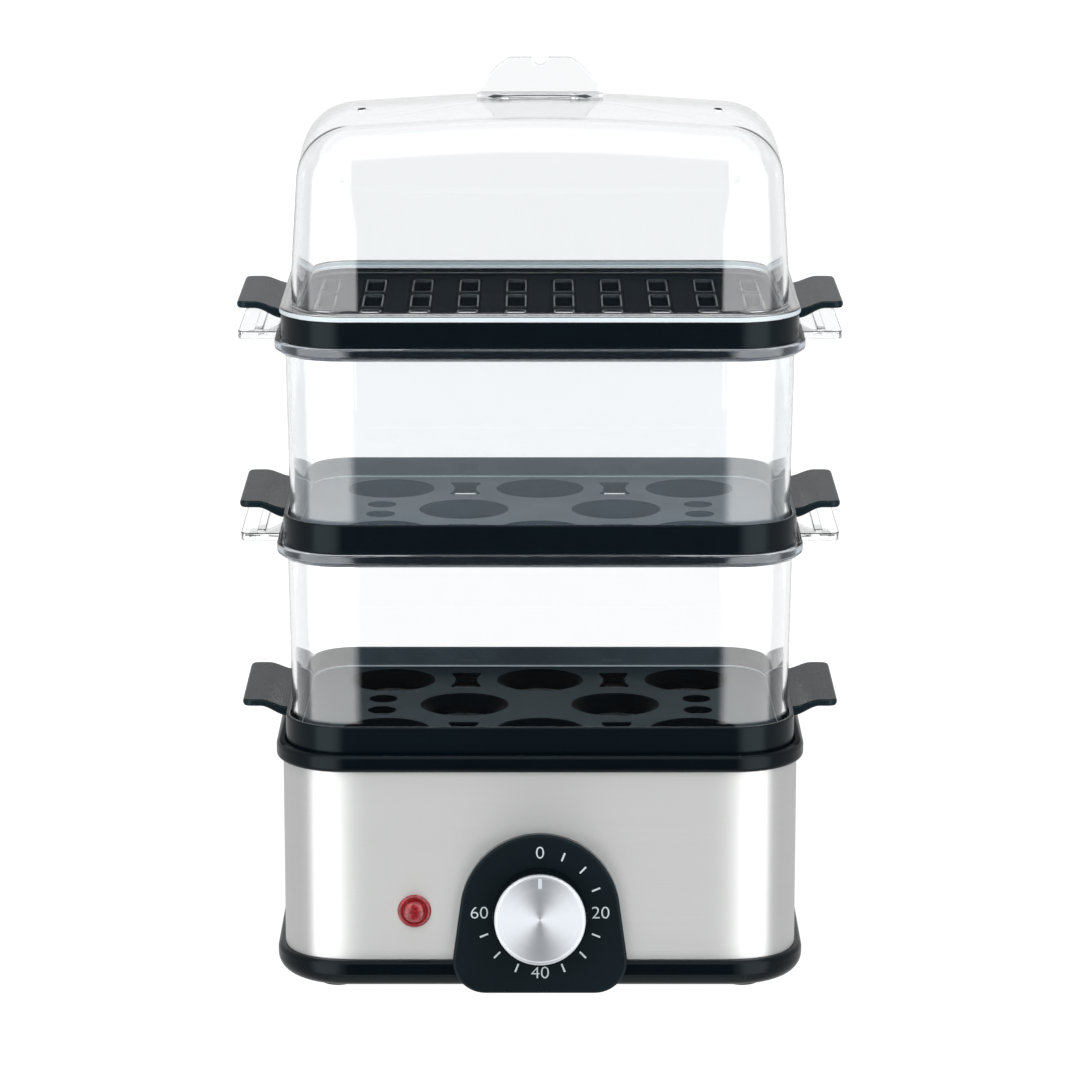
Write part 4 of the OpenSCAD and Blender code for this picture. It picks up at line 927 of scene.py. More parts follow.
class Repeat(Tree):
    """Geometry Nodes tree that repeats the mesh of its host."""

    def __init__(self, name: str, asked: dict[str, str]) -> None:
        """Make the tree with its mesh in and out.

        Args:
            name: name of the tree.
            asked: names and kinds of its other inputs, before the finish.
        """
        super().__init__(bpy.data.node_groups.new(name, "GeometryNodeTree"))
        face = self.tree.interface
        for side in ("INPUT", "OUTPUT"):
            face.new_socket(name="Geometry", in_out=side, socket_type="NodeSocketGeometry")
        for key, kind in {**asked, "Finish": "Material"}.items():
            face.new_socket(name=key, in_out="INPUT", socket_type="NodeSocket" + kind)
        self.given = self.node("NodeGroupInput").outputs
        self.index = self.node("GeometryNodeInputIndex").outputs[0]

    def instances(self, count: Socket, spot: Socket, sockets: dict) -> Socket:
        """Put the host's mesh on points.

        Args:
            count: how many points there are.
            spot: place of each point.
            sockets: further inputs of the instances.

        Returns:
            The instances.
        """
        points = self.node("GeometryNodePoints", {"Count": count, "Position": spot}).outputs[0]
        sockets = {"Points": points, "Instance": self.given["Geometry"], **sockets}
        return self.node("GeometryNodeInstanceOnPoints", sockets).outputs[0]

    def close(self, placed: Socket) -> None:
        """Make the instances real, give them their finish and end the tree.

        Args:
            placed: the instances.
        """
        real = self.node("GeometryNodeRealizeInstances", {0: placed}).outputs[0]
        coat = self.node("GeometryNodeSetMaterial", {"Geometry": real, "Material": self.given["Finish"]})
        self.node("NodeGroupOutput", {0: coat.outputs[0]})

    def run(self, name: str, solid: Solid, finish: Finish, values: dict) -> Piece:
        """Repeat a small shape and keep the result as a mesh.

        Args:
            name: name of the object.
            solid: the shape, about the origin.
            finish: finish of the result.
            values: values of the other named inputs.

        Returns:
            The object.
        """
        host = solid.piece(name)
        host.data.transform(Matrix.Translation((0.0, -PLAN.shift_y * MM, 0.0)))
        step = host.modifiers.new("repeat", "NODES")
        step.node_group = self.tree
        asked = [item for item in self.tree.interface.items_tree if item.in_out == "INPUT"]
        names = {item.name: item.identifier for item in asked}
        for key, value in {**values, "Finish": paint(finish)}.items():
            step[names[key]] = value
        settle(host)
        return host


def grid_tree() -> Repeat:
    """Make the tree that repeats a mesh in columns and rows.

    Returns:
        The tree, with the inputs Columns, Rows, Pitch X, Pitch Y, Centre and Finish.
    """
    made = Repeat("rows_of", {
        "Columns": "Int", "Rows": "Int", "Pitch X": "Float", "Pitch Y": "Float", "Centre": "Vector",
    })
    given = made.given
    column = made.math("MODULO", made.index, given["Columns"])
    row = made.math("FLOOR", made.math("DIVIDE", made.index, given["Columns"]))
    spots = {}
    ways = ((column, "Columns", "Pitch X"), (row, "Rows", "Pitch Y"))
    for axis, (place, count, pitch) in enumerate(ways):
        middle = made.math("MULTIPLY", made.math("SUBTRACT", given[count], 1.0), 0.5)
        spots[axis] = made.math("MULTIPLY", made.math("SUBTRACT", place, middle), given[pitch])
    spot = made.node("ShaderNodeCombineXYZ", spots).outputs[0]
    centred = made.node("ShaderNodeVectorMath", {0: spot, 1: given["Centre"]}, operation="ADD").outputs[0]
    count = made.math("MULTIPLY", given["Columns"], given["Rows"])
    made.close(made.instances(count, centred, {}))
    return made


def ring_tree() -> Repeat:
    """Make the tree that repeats a mesh round an axis.

    Returns:
        The tree, with the inputs Count, Radius, Start, Step, Skip, Tilt, Centre and Finish.
    """
    made = Repeat("ring_of", {
        "Count": "Int", "Radius": "Float", "Start": "Float", "Step": "Float", "Skip": "Int",
        "Tilt": "Vector", "Centre": "Vector",
    })
    given = made.given
    angle = made.math("ADD", made.math("MULTIPLY", made.index, given["Step"]), given["Start"])
    waves = [made.math(wave, angle) for wave in ("COSINE", "SINE")]
    spots = {axis: made.math("MULTIPLY", wave, given["Radius"]) for axis, wave in enumerate(waves)}
    place = made.math("MODULO", made.math("ADD", made.index, 1.0), given["Skip"])
    spot, turn = (made.node("ShaderNodeCombineXYZ", sockets).outputs[0] for sockets in (spots, {2: angle}))
    placed = made.instances(given["Count"], spot, {
        "Rotation": turn, "Selection": made.math("GREATER_THAN", place, 0.5),
    })
    sockets = {0: placed, "Rotation": given["Tilt"], "Translation": given["Centre"]}
    made.close(made.node("GeometryNodeTransform", sockets).outputs[0])
    return made


ROWS_OF = grid_tree()
RING_OF = ring_tree()


def rows_of(
    name: str, solid: Solid, finish: Finish, counts: tuple[int, int], pitch: Pair, height: float,
) -> Piece:
    """Repeat a small shape in columns and rows about the middle of the plan.

    Args:
        name: name of the object.
        solid: the shape, about the origin.
        finish: finish of the result.
        counts: how many columns and rows there are.
        pitch: distance between columns and between rows.
        height: height of the shape's origin.

    Returns:
        The object.
    """
    return ROWS_OF.run(name, solid, finish, {
        "Columns": counts[0], "Rows": counts[1], "Pitch X": pitch[0] * MM, "Pitch Y": pitch[1] * MM,
        "Centre": (0.0, PLAN.shift_y * MM, height * MM),
    })


@dataclass
class Tray:
    """Tray with a rounded rim and two side handles."""

    name: str
    node: str
    body: Part
    rim_z: float
    floor: Finish
    inner: Finish
    seat: Finish
    tall: float = 16.5
    floor_drop: float = 8.5
    floor_t: float = 2.0
    corner_r: float = 26.5
    wall: float = 2.0
    rim_round: float = 0.8
    half_w: float = 109.5
    reach: float = 19.5
    half_l: float = 33.0
    handle_t: float = 3.0
    root_t: float = 4.2
    drop: float = 0.9
    rise: float = 3.1
    bend_l: float = 12.0
    plan_r: float = 4.0
    nose_r: float = 1.3
    edge_r: float = 0.9
    floor_reach: Pair = (108.0, 68.7)
    seat_reach: Pair = (100.0, 64.0)
    seat_deep: float = 8.5
    back_x: float = 84.0
    back_y: Pair = (60.0, 69.0)
    back_tall: float = 9.0

    def floor_z(self) -> float:
        """Return the height of the floor."""
        return self.rim_z - self.floor_drop

    def inside(self) -> Loop:
        """Return the outline of the floor, which reaches a little into the wall."""
        return PLAN.outline(self.corner_r - self.wall + 0.3)

    def skirt(self, solid: Solid) -> None:
        """Add the wall.

        Args:
            solid: solid that takes it.
        """
        inner = self.corner_r - self.wall
        profile = rounded([
            (inner, self.rim_z - self.tall, 0.4), (self.corner_r, self.rim_z - self.tall, 0.4),
            (self.corner_r, self.rim_z, self.rim_round), (inner, self.rim_z, self.rim_round),
        ], 5)
        solid.sweep(profile, PLAN.stations())

    def section(self, x: float) -> list[Triple]:
        """Return the closed outline of a handle at a distance from the middle.

        Args:
            x: distance along the handle.

        Returns:
            Points of the section.
        """
        share = min(max((x - self.half_w) / self.bend_l, 0.0), 1.0)
        wave = (1.0 - math.cos(math.pi * share)) / 2.0
        top = -self.drop + self.rise * wave
        low = -self.drop - self.root_t + (self.root_t + self.rise - self.handle_t) * wave
        end = self.half_w + self.reach
        half = self.half_l
        past = x - (end - self.plan_r)
        if past > 0.0:
            half -= self.plan_r - math.sqrt(max(self.plan_r ** 2 - past ** 2, 0.0))
        inside = x - (end - self.nose_r)
        if inside > 0.0:
            taken = self.nose_r - math.sqrt(max(self.nose_r ** 2 - inside ** 2, 0.0))
            top, low = top - taken, low + taken
        radius = min(self.edge_r, (top - low) / 2.0 - 0.01)
        corners = ((-half, low), (half, low), (half, top), (-half, top))
        loop = rounded([(y, z, radius) for y, z in corners], 4)
        return [(x, y, self.rim_z + z) for y, z in loop]

    def handles(self) -> Piece:
        """Build both handles, which start a little inside the wall.

        Returns:
            The handles as one piece.
        """
        end = self.half_w + self.reach
        round_x = end - self.plan_r
        stops = [self.half_w - 1.0] + [self.half_w + self.bend_l * k / 12.0 for k in range(13)]
        stops += [round_x - 1.5, round_x]
        stops += [round_x + self.plan_r * math.sin(math.radians(11.25 * k)) for k in range(1, 8)]
        sections = [self.section(x) for x in stops + [end - 0.03]]
        solid = Solid()
        solid.loft(sections)
        solid.loft([[(-x, -y, z) for x, y, z in section] for section in sections])
        return solid.piece("handles")

    def zones(self) -> tuple[Zone, ...]:
        """Lay out where the tray has another finish; on the egg trays these are painted sheen, light and
        shade.

        Returns:
            The boxes of the floor, of the wall inside at the back, of the seats and of the handles.
        """
        floor_z, (near, far) = self.floor_z(), self.back_y
        return (
            level_zone(self.floor, self.floor_reach, floor_z - 0.02, floor_z + 0.1, (0.25, 1.0)),
            Zone(self.inner, (-self.back_x, near, floor_z), (self.back_x, far, floor_z + self.back_tall)),
            level_zone(self.seat, self.seat_reach, floor_z - self.seat_deep, floor_z),
            Zone(GRIP, (self.half_w, -FAR, 0.0), (FAR, FAR, FAR)),
            Zone(GRIP, (-FAR, -FAR, 0.0), (-self.half_w, FAR, FAR)),
        )

    def complete(self, item: Piece, extra: Piece) -> None:
        """Add a further piece and the handles and put the tray in the place of its solid."""
        gather(item, [extra, self.handles()], CLOSE_WELD)
        place_piece(item, FINISHES[Slot.TRAY], self.body, (self.node,), zones=self.zones())


@dataclass
class EggTray(Tray):
    """Tray with eight dished egg seats, waisted slots and steam holes."""

    hole_r: float = 14.0
    dish_r: float = 19.4
    dish_depth: float = 4.0
    dish_lip: float = 3.7
    collar_h: float = 1.2
    collar_t: float = 1.2
    pitch_x: float = 66.4
    pitch_y: float = 42.2
    steam_d: float = 12.0
    steam_x: float = 69.3
    steam_y: float = 9.6
    slot_w: float = 12.6
    slot_l: float = 24.0
    slot_round: float = 0.8
    waist_r: float = 28.7

    def waist_loop(self, centre: Pair) -> Loop:
        """Return the outline of a slot that narrows between two seats.

        Args:
            centre: middle of the slot.

        Returns:
            The outline, against the clock.
        """
        right = []
        for step in range(-8, 9):
            y = self.slot_l / 2.0 * step / 8.0
            inner = self.pitch_x / 2.0 - math.sqrt(self.waist_r ** 2 - y ** 2)
            right.append((min(inner, self.slot_w / 2.0), y, self.slot_round if abs(step) == 8 else 0.0))
        left = [(-x, -y, radius) for x, y, radius in right]
        return [(centre[0] + x, centre[1] + y) for x, y in rounded(right + left, 3)]

    def seats(self) -> list[Piece]:
        """Repeat the dished seat over the rows of the tray.

        Returns:
            The seats of the outer rows and of the middle row.
        """
        deep = self.dish_depth + self.dish_lip
        profile = [
            (self.dish_r, 0.0), (18.9, -0.06), (18.2, -0.32), (17.3, -0.9), (16.3, -1.85), (15.4, -2.75),
            (14.6, -3.45), (14.15, -4.0), (14.0, -4.7), (self.hole_r, 0.3 - deep), (14.1, -deep),
            (15.7, -deep), (16.0, 0.3 - deep), (16.0, -self.dish_depth), (self.dish_r, -self.floor_t),
        ]
        made = []
        for part, counts in (("outer", (3, 2)), ("middle", (2, 1))):
            solid = Solid()
            solid.sweep(profile, ring_stations(64), closed=False)
            pitch = (self.pitch_x, 2.0 * self.pitch_y)
            name = f"{self.name}_{part}_seats"
            made.append(rows_of(name, solid, FINISHES[Slot.TRAY], counts, pitch, self.floor_z()))
        return made

    def build(self) -> None:
        """Build the tray and put it in the place of its solid."""
        floor_z = self.floor_z()
        low = floor_z - self.floor_t
        signs = [(x, y) for x in (-1, 1) for y in (-1, 1)]
        dishes = [(x * self.pitch_x, y * self.pitch_y) for y in (-1, 1) for x in (-1, 0, 1)]
        dishes += [(x * self.pitch_x / 2.0, 0.0) for x in (-1, 1)]
        vents = [(x * self.steam_x, y * self.steam_y) for x, y in signs]
        holes = [circle_loop(self.steam_d / 2.0, vent, 40) for vent in vents]
        waists = [self.waist_loop((x * self.pitch_x / 2.0, y * self.pitch_y)) for x, y in signs]
        solid = Solid()
        bare = [circle_loop(self.dish_r, centre) for centre in dishes]
        solid.plate(self.inside(), holes + waists, floor_z, low, 0.35, 0.0, bare)
        item = solid.piece(self.name)
        gather(item, self.seats())
        walls = Solid()
        self.skirt(walls)
        for vent, hole in zip(vents, holes):
            collar = circle_loop(self.steam_d / 2.0 + self.collar_t, vent, 40)
            walls.plate(collar, [hole], low + 0.01, low - self.collar_h, 0.0, 0.2)
        self.complete(item, walls.piece("wall"))


@dataclass
class SteamerTray(Tray):
    """Top tray with rows of rimmed slots in shallow channels."""

    tall: float = 15.1
    floor_drop: float = 3.2
    channel_depth: float = 0.7
    channel_w: float = 11.0
    channel_l: float = 105.5
    slot_w: float = 7.6
    slot_l: float = 28.5
    slot_r: float = 2.0
    columns: int = 10
    rows: int = 3
    pitch_x: float = 20.6
    pitch_y: float = 36.5
    collar_h: float = 3.5
    collar_t: float = 1.2
    lip_w: float = 0.62
    lip_h: float = 1.0

    def slot(self, centre: Pair = (0.0, 0.0), wider: float = 0.0) -> Loop:
        """Return the outline of a slot, or one that is wider all round."""
        return box_loop(self.slot_w + 2.0 * wider, self.slot_l + 2.0 * wider, self.slot_r + wider, centre)

    def frames(
        self, name: str, finish: Finish, wide: float,
        levels: tuple[float, float, float, float], height: float,
    ) -> Piece:
        """Build a frame round every slot.

        Args:
            name: name of the object.
            finish: its finish.
            wide: width of the frame.
            levels: its top, its low face and the radii of its upper and lower edges.
            height: height from which the levels are measured.

        Returns:
            The object.
        """
        solid = Solid()
        solid.plate(self.slot(wider=wide), [self.slot()], *levels)
        return rows_of(name, solid, finish, (self.columns, self.rows), (self.pitch_x, self.pitch_y), height)

    def build(self) -> None:
        """Build the tray and its slot rims."""
        floor_z = self.floor_z()
        bed_z, low = floor_z - self.channel_depth, floor_z - self.floor_t
        across = [(k - (self.columns - 1) / 2.0) * self.pitch_x for k in range(self.columns)]
        along = [(k - (self.rows - 1) / 2.0) * self.pitch_y for k in range(self.rows)]
        channels = [box_loop(self.channel_w, self.channel_l, 1.2, (x, 0.0)) for x in across]
        solid = Solid()
        solid.plate(self.inside(), channels, floor_z, bed_z, 0.3)
        solid.plate(self.inside(), [self.slot((x, y)) for x in across for y in along], bed_z, low, 0.2)
        self.skirt(solid)
        item = solid.piece(self.name)
        levels = (0.01, -self.collar_h, 0.0, 0.2)
        self.complete(item, self.frames("slot_collars", FINISHES[Slot.TRAY], self.collar_t, levels, low))
        # The rims take the painted highlight of the slot rim finish.
        rims = self.frames("slot_rims", RIM, self.lip_w, (self.lip_h, -0.3, 0.22, 0.0), bed_z)
        place_piece(rims, RIM, self.body)


@dataclass
class ClearTier:
    """Clear wall with a collar round its top and two clear handles."""

    name: str
    node: str
    body: Part
    foot_z: float
    finish: Finish
    foot_r: float = 23.4
    top_r: float = 24.8
    wall: float = 2.0
    tall: float = 78.6
    shelf_t: float = 1.6
    skirt_r: float = 27.0
    collar_r: float = 29.4
    collar_h: float = 5.4
    chamfer: float = 1.8
    root_x: float = 111.2
    end_x: float = 129.0
    half_l: float = 30.0
    plan_r: float = 4.0
    handle_t: float = 3.4
    rib_w: float = 3.6
    rib_l: float = 53.0
    rib_h: float = 0.8

    def wall_profile(self) -> Loop:
        """Lay out the wall and the collar.

        Returns:
            The closed profile, as radius and height of each point.
        """
        z, top = self.foot_z, self.foot_z + self.tall
        return rounded([
            (self.foot_r - self.wall, z, 0.5), (self.foot_r, z, 0.5), (self.top_r, top, 0.5),
            (self.skirt_r, top, 0.4), (self.collar_r, top + self.chamfer, 0.8),
            (self.collar_r, top + self.collar_h, 0.6), (self.skirt_r, top + self.collar_h, 0.4),
            (self.skirt_r, top + self.shelf_t, 0.3), (self.top_r - self.wall, top + self.shelf_t, 0.5),
            (self.top_r - self.wall, top, 0.0),
        ], 4)

    def handles(self) -> list[Piece]:
        """Build the plates of both handles and their stiffening ribs.

        Returns:
            The two plates and then the two ribs.
        """
        top = self.foot_z + self.tall + self.collar_h
        plan = rounded([
            (self.root_x, -self.half_l, 0.0), (self.end_x, -self.half_l, self.plan_r),
            (self.end_x, self.half_l, self.plan_r), (self.root_x, self.half_l, 0.0),
        ], 8)
        rib = box_loop(self.rib_w, self.rib_l, 0.8, ((self.root_x + self.end_x) / 2.0, 0.0))
        made = []
        for name, loop, levels in (
            ("plate", plan, (top, top - self.handle_t, 0.5, 0.5)),
            ("rib", rib, (top + self.rib_h, top - 0.4, 0.35, 0.0)),
        ):
            for place in (None, Matrix.Rotation(math.pi, 4, "Z")):
                solid = Solid(place)
                solid.plate(loop, [], *levels)
                made.append(solid.piece(name))
        return made

    def build(self) -> None:
        """Build the tier and put it in the place of its solid."""
        solid = Solid()
        solid.sweep(self.wall_profile(), PLAN.stations())
        item = solid.piece(self.name)
        combine(item, self.handles(), Cut.JOIN)
        top, reach = self.foot_z + self.tall, PLAN.axis_x + self.collar_r + 0.1
        # The foot's lower edge takes the opaque white of painted light.
        foot = level_zone(EDGE_LIGHT, (FAR, FAR), self.foot_z - 0.1, self.foot_z + 0.7)
        # The collar's face takes a dark tinted clear of painted shade.
        collar = level_zone(COLLAR_SHADE, (reach, FAR), top + 0.2, top + self.collar_h - 0.7, (-0.8, 0.5))
        place_piece(item, self.finish, self.body, (self.node,), 32.0, (foot, collar))


@dataclass
class Lid:
    """Clear dome with a flange, vents and a half-round finger tab."""

    rim_z: float = TOP_RIM
    crown_z: float = 379.8
    flange_r: float = 27.2
    flange_t: float = 2.6
    foot_r: float = 21.9
    foot_h: float = 17.5
    spigot_h: float = 2.2
    wall: float = 2.0
    edge_r: float = 24.0
    ease: float = 2.25
    first_rise: float = 0.06
    corner_gain: float = 0.3
    corner_from: float = 18.0
    centre_r: float = -4.6
    fall_x: float = 4.8
    fall_y: float = 4.5
    fall_reach: float = 78.0
    fall_span: float = 74.0
    vent_d: float = 3.6
    vent_x: float = 75.7
    vent_y: float = 12.0
    pin_x: float = 15.0
    pin_d: float = 4.0
    pin_gap: float = 0.4
    barb_d: float = 5.0
    barb_drop: float = 3.6
    cut_above: float = 2.0
    tab_r: float = 27.2
    tab_z: float = 372.7
    tab_top: float = 396.7
    tab_t: float = 3.0
    notch_r: float = 3.4
    notch_rise: float = 0.2
    plate_w: float = 54.0
    plate_d: float = 8.0
    plate_t: float = 1.6
    plate_gap: float = 0.1
    # The painted shadow strip: half its length, its pointed ends, half its width, its flare and its sag.
    shadow_x: float = 19.6
    shadow_end: float = 22.4
    shadow_half: float = 0.2
    shadow_flare: float = 0.8
    shadow_sag: float = 0.5

    def plate_z(self) -> float:
        """Return the height of the foot plate's lower face."""
        return self.crown_z + self.plate_gap

    def shoulder(self, inset: float) -> Loop:
        """Return the profile from the wall to the level of the crown.

        Args:
            inset: distance inside the outer face.

        Returns:
            Radius and height of each point.
        """
        radius, power, steps = self.edge_r - inset, 2.0 / self.ease, 26
        start, low = math.asin(self.first_rise), self.crown_z - self.edge_r
        curve: Loop = []
        for step in range(steps):
            angle = start + (math.pi / 2.0 - start) * step / steps
            r = self.centre_r + radius * math.cos(angle) ** power
            curve.append((r, low + radius * math.sin(angle) ** power))
        return curve + [(self.centre_r, self.crown_z - inset)]

    def around(self, station: Station, r: float, inset: float) -> Pair:
        """Return a point of the plan, whose corners stay rounder towards the crown.

        Args:
            station: where on the plan.
            r: radius of the profile there.
            inset: distance inside the outer face.

        Returns:
            The point's x and y.
        """
        cx, cy, nx, ny = station
        gain = self.corner_gain * max(0.0, self.corner_from - r - inset)
        x = cx * (1.0 - gain / PLAN.axis_x) + (r + gain) * nx
        y = cy * (1.0 - gain / PLAN.axis_y) + (r + gain) * ny
        return x, y

    def crown(self, station: Station, inset: float) -> list[Triple]:
        """Return points from the shoulder to the middle of the crown.

        Args:
            station: where the shoulder is left.
            inset: distance inside the outer face.

        Returns:
            Points towards the middle.
        """
        x, y = self.around(station, self.centre_r, inset)
        shares = (0.95, 0.89, 0.82, 0.74, 0.65, 0.55, 0.44, 0.32, 0.18, 0.0)
        return [(x * share, y * share, self.crown_z - inset) for share in shares]

    def sagged(self, point: Triple) -> Triple:
        """Lower a point of the upper dome the more, the farther it lies from the middle.

        Args:
            point: the point on a dome with a level crown.

        Returns:
            The lowered point.
        """
        x, y, z = point
        share = min(max((z - self.crown_z + self.fall_reach) / self.fall_span, 0.0), 1.0)
        ways = ((self.fall_x, (x / PLAN.axis_x) ** 2), (self.fall_y, (y / PLAN.axis_y) ** 2))
        fall = sum(most * far / (1.0 + far ** 3) ** (1.0 / 3.0) for most, far in ways)
        return x, y, z - fall * share ** 2 * (3.0 - 2.0 * share)

    def face(self, station: Station, profile: Loop, inset: float) -> list[Triple]:
        """Return one face of the dome at a station, from its foot to the middle.

        Args:
            station: where on the plan.
            profile: radius and height of the points up to the crown.
            inset: distance inside the outer face.

        Returns:
            The points before they sag.
        """
        return [(*self.around(station, r, inset), z) for r, z in profile] + self.crown(station, inset)

    def dome(self) -> None:
        """Build the dome and put it in the place of its solid."""
        outer, inner = self.shoulder(0.0), self.shoulder(self.wall)
        low, top, neck = self.rim_z - self.spigot_h, self.rim_z + self.flange_t, self.rim_z + self.foot_h
        within = self.foot_r - self.wall
        foot = rounded([
            (within, neck, 0.0), (within, low, 0.4), (self.foot_r, low, 0.4), (self.foot_r, self.rim_z, 0.2),
            (self.flange_r, self.rim_z, 0.5), (self.flange_r, top, 0.9), (self.foot_r, top, 1.2),
            (self.foot_r, neck, 0.0),
        ], 4)
        rows = []
        for station in PLAN.stations(16, 10):
            under, over = self.face(station, inner, self.wall), self.face(station, foot + outer, 0.0)
            rows.append([self.sagged(point) for point in under[::-1] + over])
        solid = Solid()
        solid.skin(rows, True, False)
        item = solid.piece("lid_shell")
        ways = ((self.vent_x, -self.vent_y, self.vent_d), (self.pin_x, 0.0, self.pin_d + self.pin_gap))
        cutters = []
        for sign in (-1, 1):
            for x, y, wide in ways:
                hole = Solid()
                loop = circle_loop(wide / 2.0, (sign * x, y), 32)
                hole.plate(loop, [], self.crown_z + self.cut_above, self.crown_z - self.edge_r, 0.0)
                cutters.append(hole.piece("hole"))
        combine(item, cutters, Cut.TAKE)
        # The flange's outer face takes the opaque white of painted light.
        edge = level_zone(EDGE_LIGHT, (FAR, FAR), self.rim_z + 0.3, top - 0.7, (-0.5, 0.5))
        place_piece(item, LIDDED, Part.LID, ("lid_dome",), 32.0, (edge,))

    def pin(self, x: float) -> Piece:
        """Return a snap pin of the foot plate.

        Args:
            x: its distance from the middle.

        Returns:
            The pin.
        """
        root, low = self.plate_z() + 0.5, self.crown_z - self.barb_drop
        stem, barb = self.pin_d / 2.0, self.barb_d / 2.0
        profile = [(0.0, low), (stem, low), (barb, low + 1.0), (stem, low + 1.05), (stem, root), (0.0, root)]
        solid = Solid(Matrix.Translation((x, 0.0, 0.0)))
        solid.sweep(profile, ring_stations(24), closed=False)
        return solid.piece("pin")

    def tab(self) -> None:
        """Build the finger tab with its foot plate and pins."""
        low = self.plate_z()
        end, start = (
            math.degrees(math.asin((z - self.tab_z) / self.tab_r)) for z in (self.tab_top, low + 0.4)
        )
        right = arc((0.0, self.tab_z), self.tab_r, start, end, 14)
        dip = math.degrees(math.asin(self.notch_rise / self.notch_r))
        notch = arc((0.0, self.tab_top + self.notch_rise), self.notch_r, -dip, dip - 180.0, 10)
        left = [(-x, z) for x, z in right[::-1]]
        solid = Solid(UPRIGHT)
        solid.plate(right + notch + left, [], self.tab_t / 2.0, -self.tab_t / 2.0, 0.4, 0.4)
        item = solid.piece("finger_tab")
        foot = Solid()
        foot.plate(box_loop(self.plate_w, self.plate_d, 2.0, steps=6), [], low + self.plate_t, low, 0.4, 0.2)
        combine(item, [foot.piece("plate"), self.pin(-self.pin_x), self.pin(self.pin_x)], Cut.JOIN)
        place_piece(item, TABBED, Part.LID, ("lid_tab",), 32.0)

    def shadow_line(self) -> None:
        """Build a painted shadow: a thin dark strip with pointed ends along the front of the foot plate, for
        the dark line that the clear plastic shows there.
        """
        half, end, thin, wide = self.shadow_x, self.shadow_end, self.shadow_half, self.shadow_flare
        low = [(half * (k / 4.0 - 1.0), -thin) for k in range(1, 8)]
        loop = [(-end, 0.0), (-half, -wide), *low, (half, -wide), (end, 0.0), (half, wide)]
        loop += [(x, thin) for x, _ in low[::-1]] + [(-half, wide)]
        bent = [(x, y - self.shadow_sag * (x / end) ** 2) for x, y in loop]
        middle = self.plate_z() + self.plate_t / 2.0
        solid = Solid(Matrix.Translation((0.0, 0.0, middle)) @ UPRIGHT)
        solid.plate(bent, [], self.plate_d / 2.0 + 0.06, self.plate_d / 2.0 - 0.1, 0.02)
        place_piece(solid.piece("tab_shadow_strip"), SHADOW_STRIP, Part.LID)

    def build(self) -> None:
        """Build the lid."""
        self.dome()
        self.tab()
        self.shadow_line()


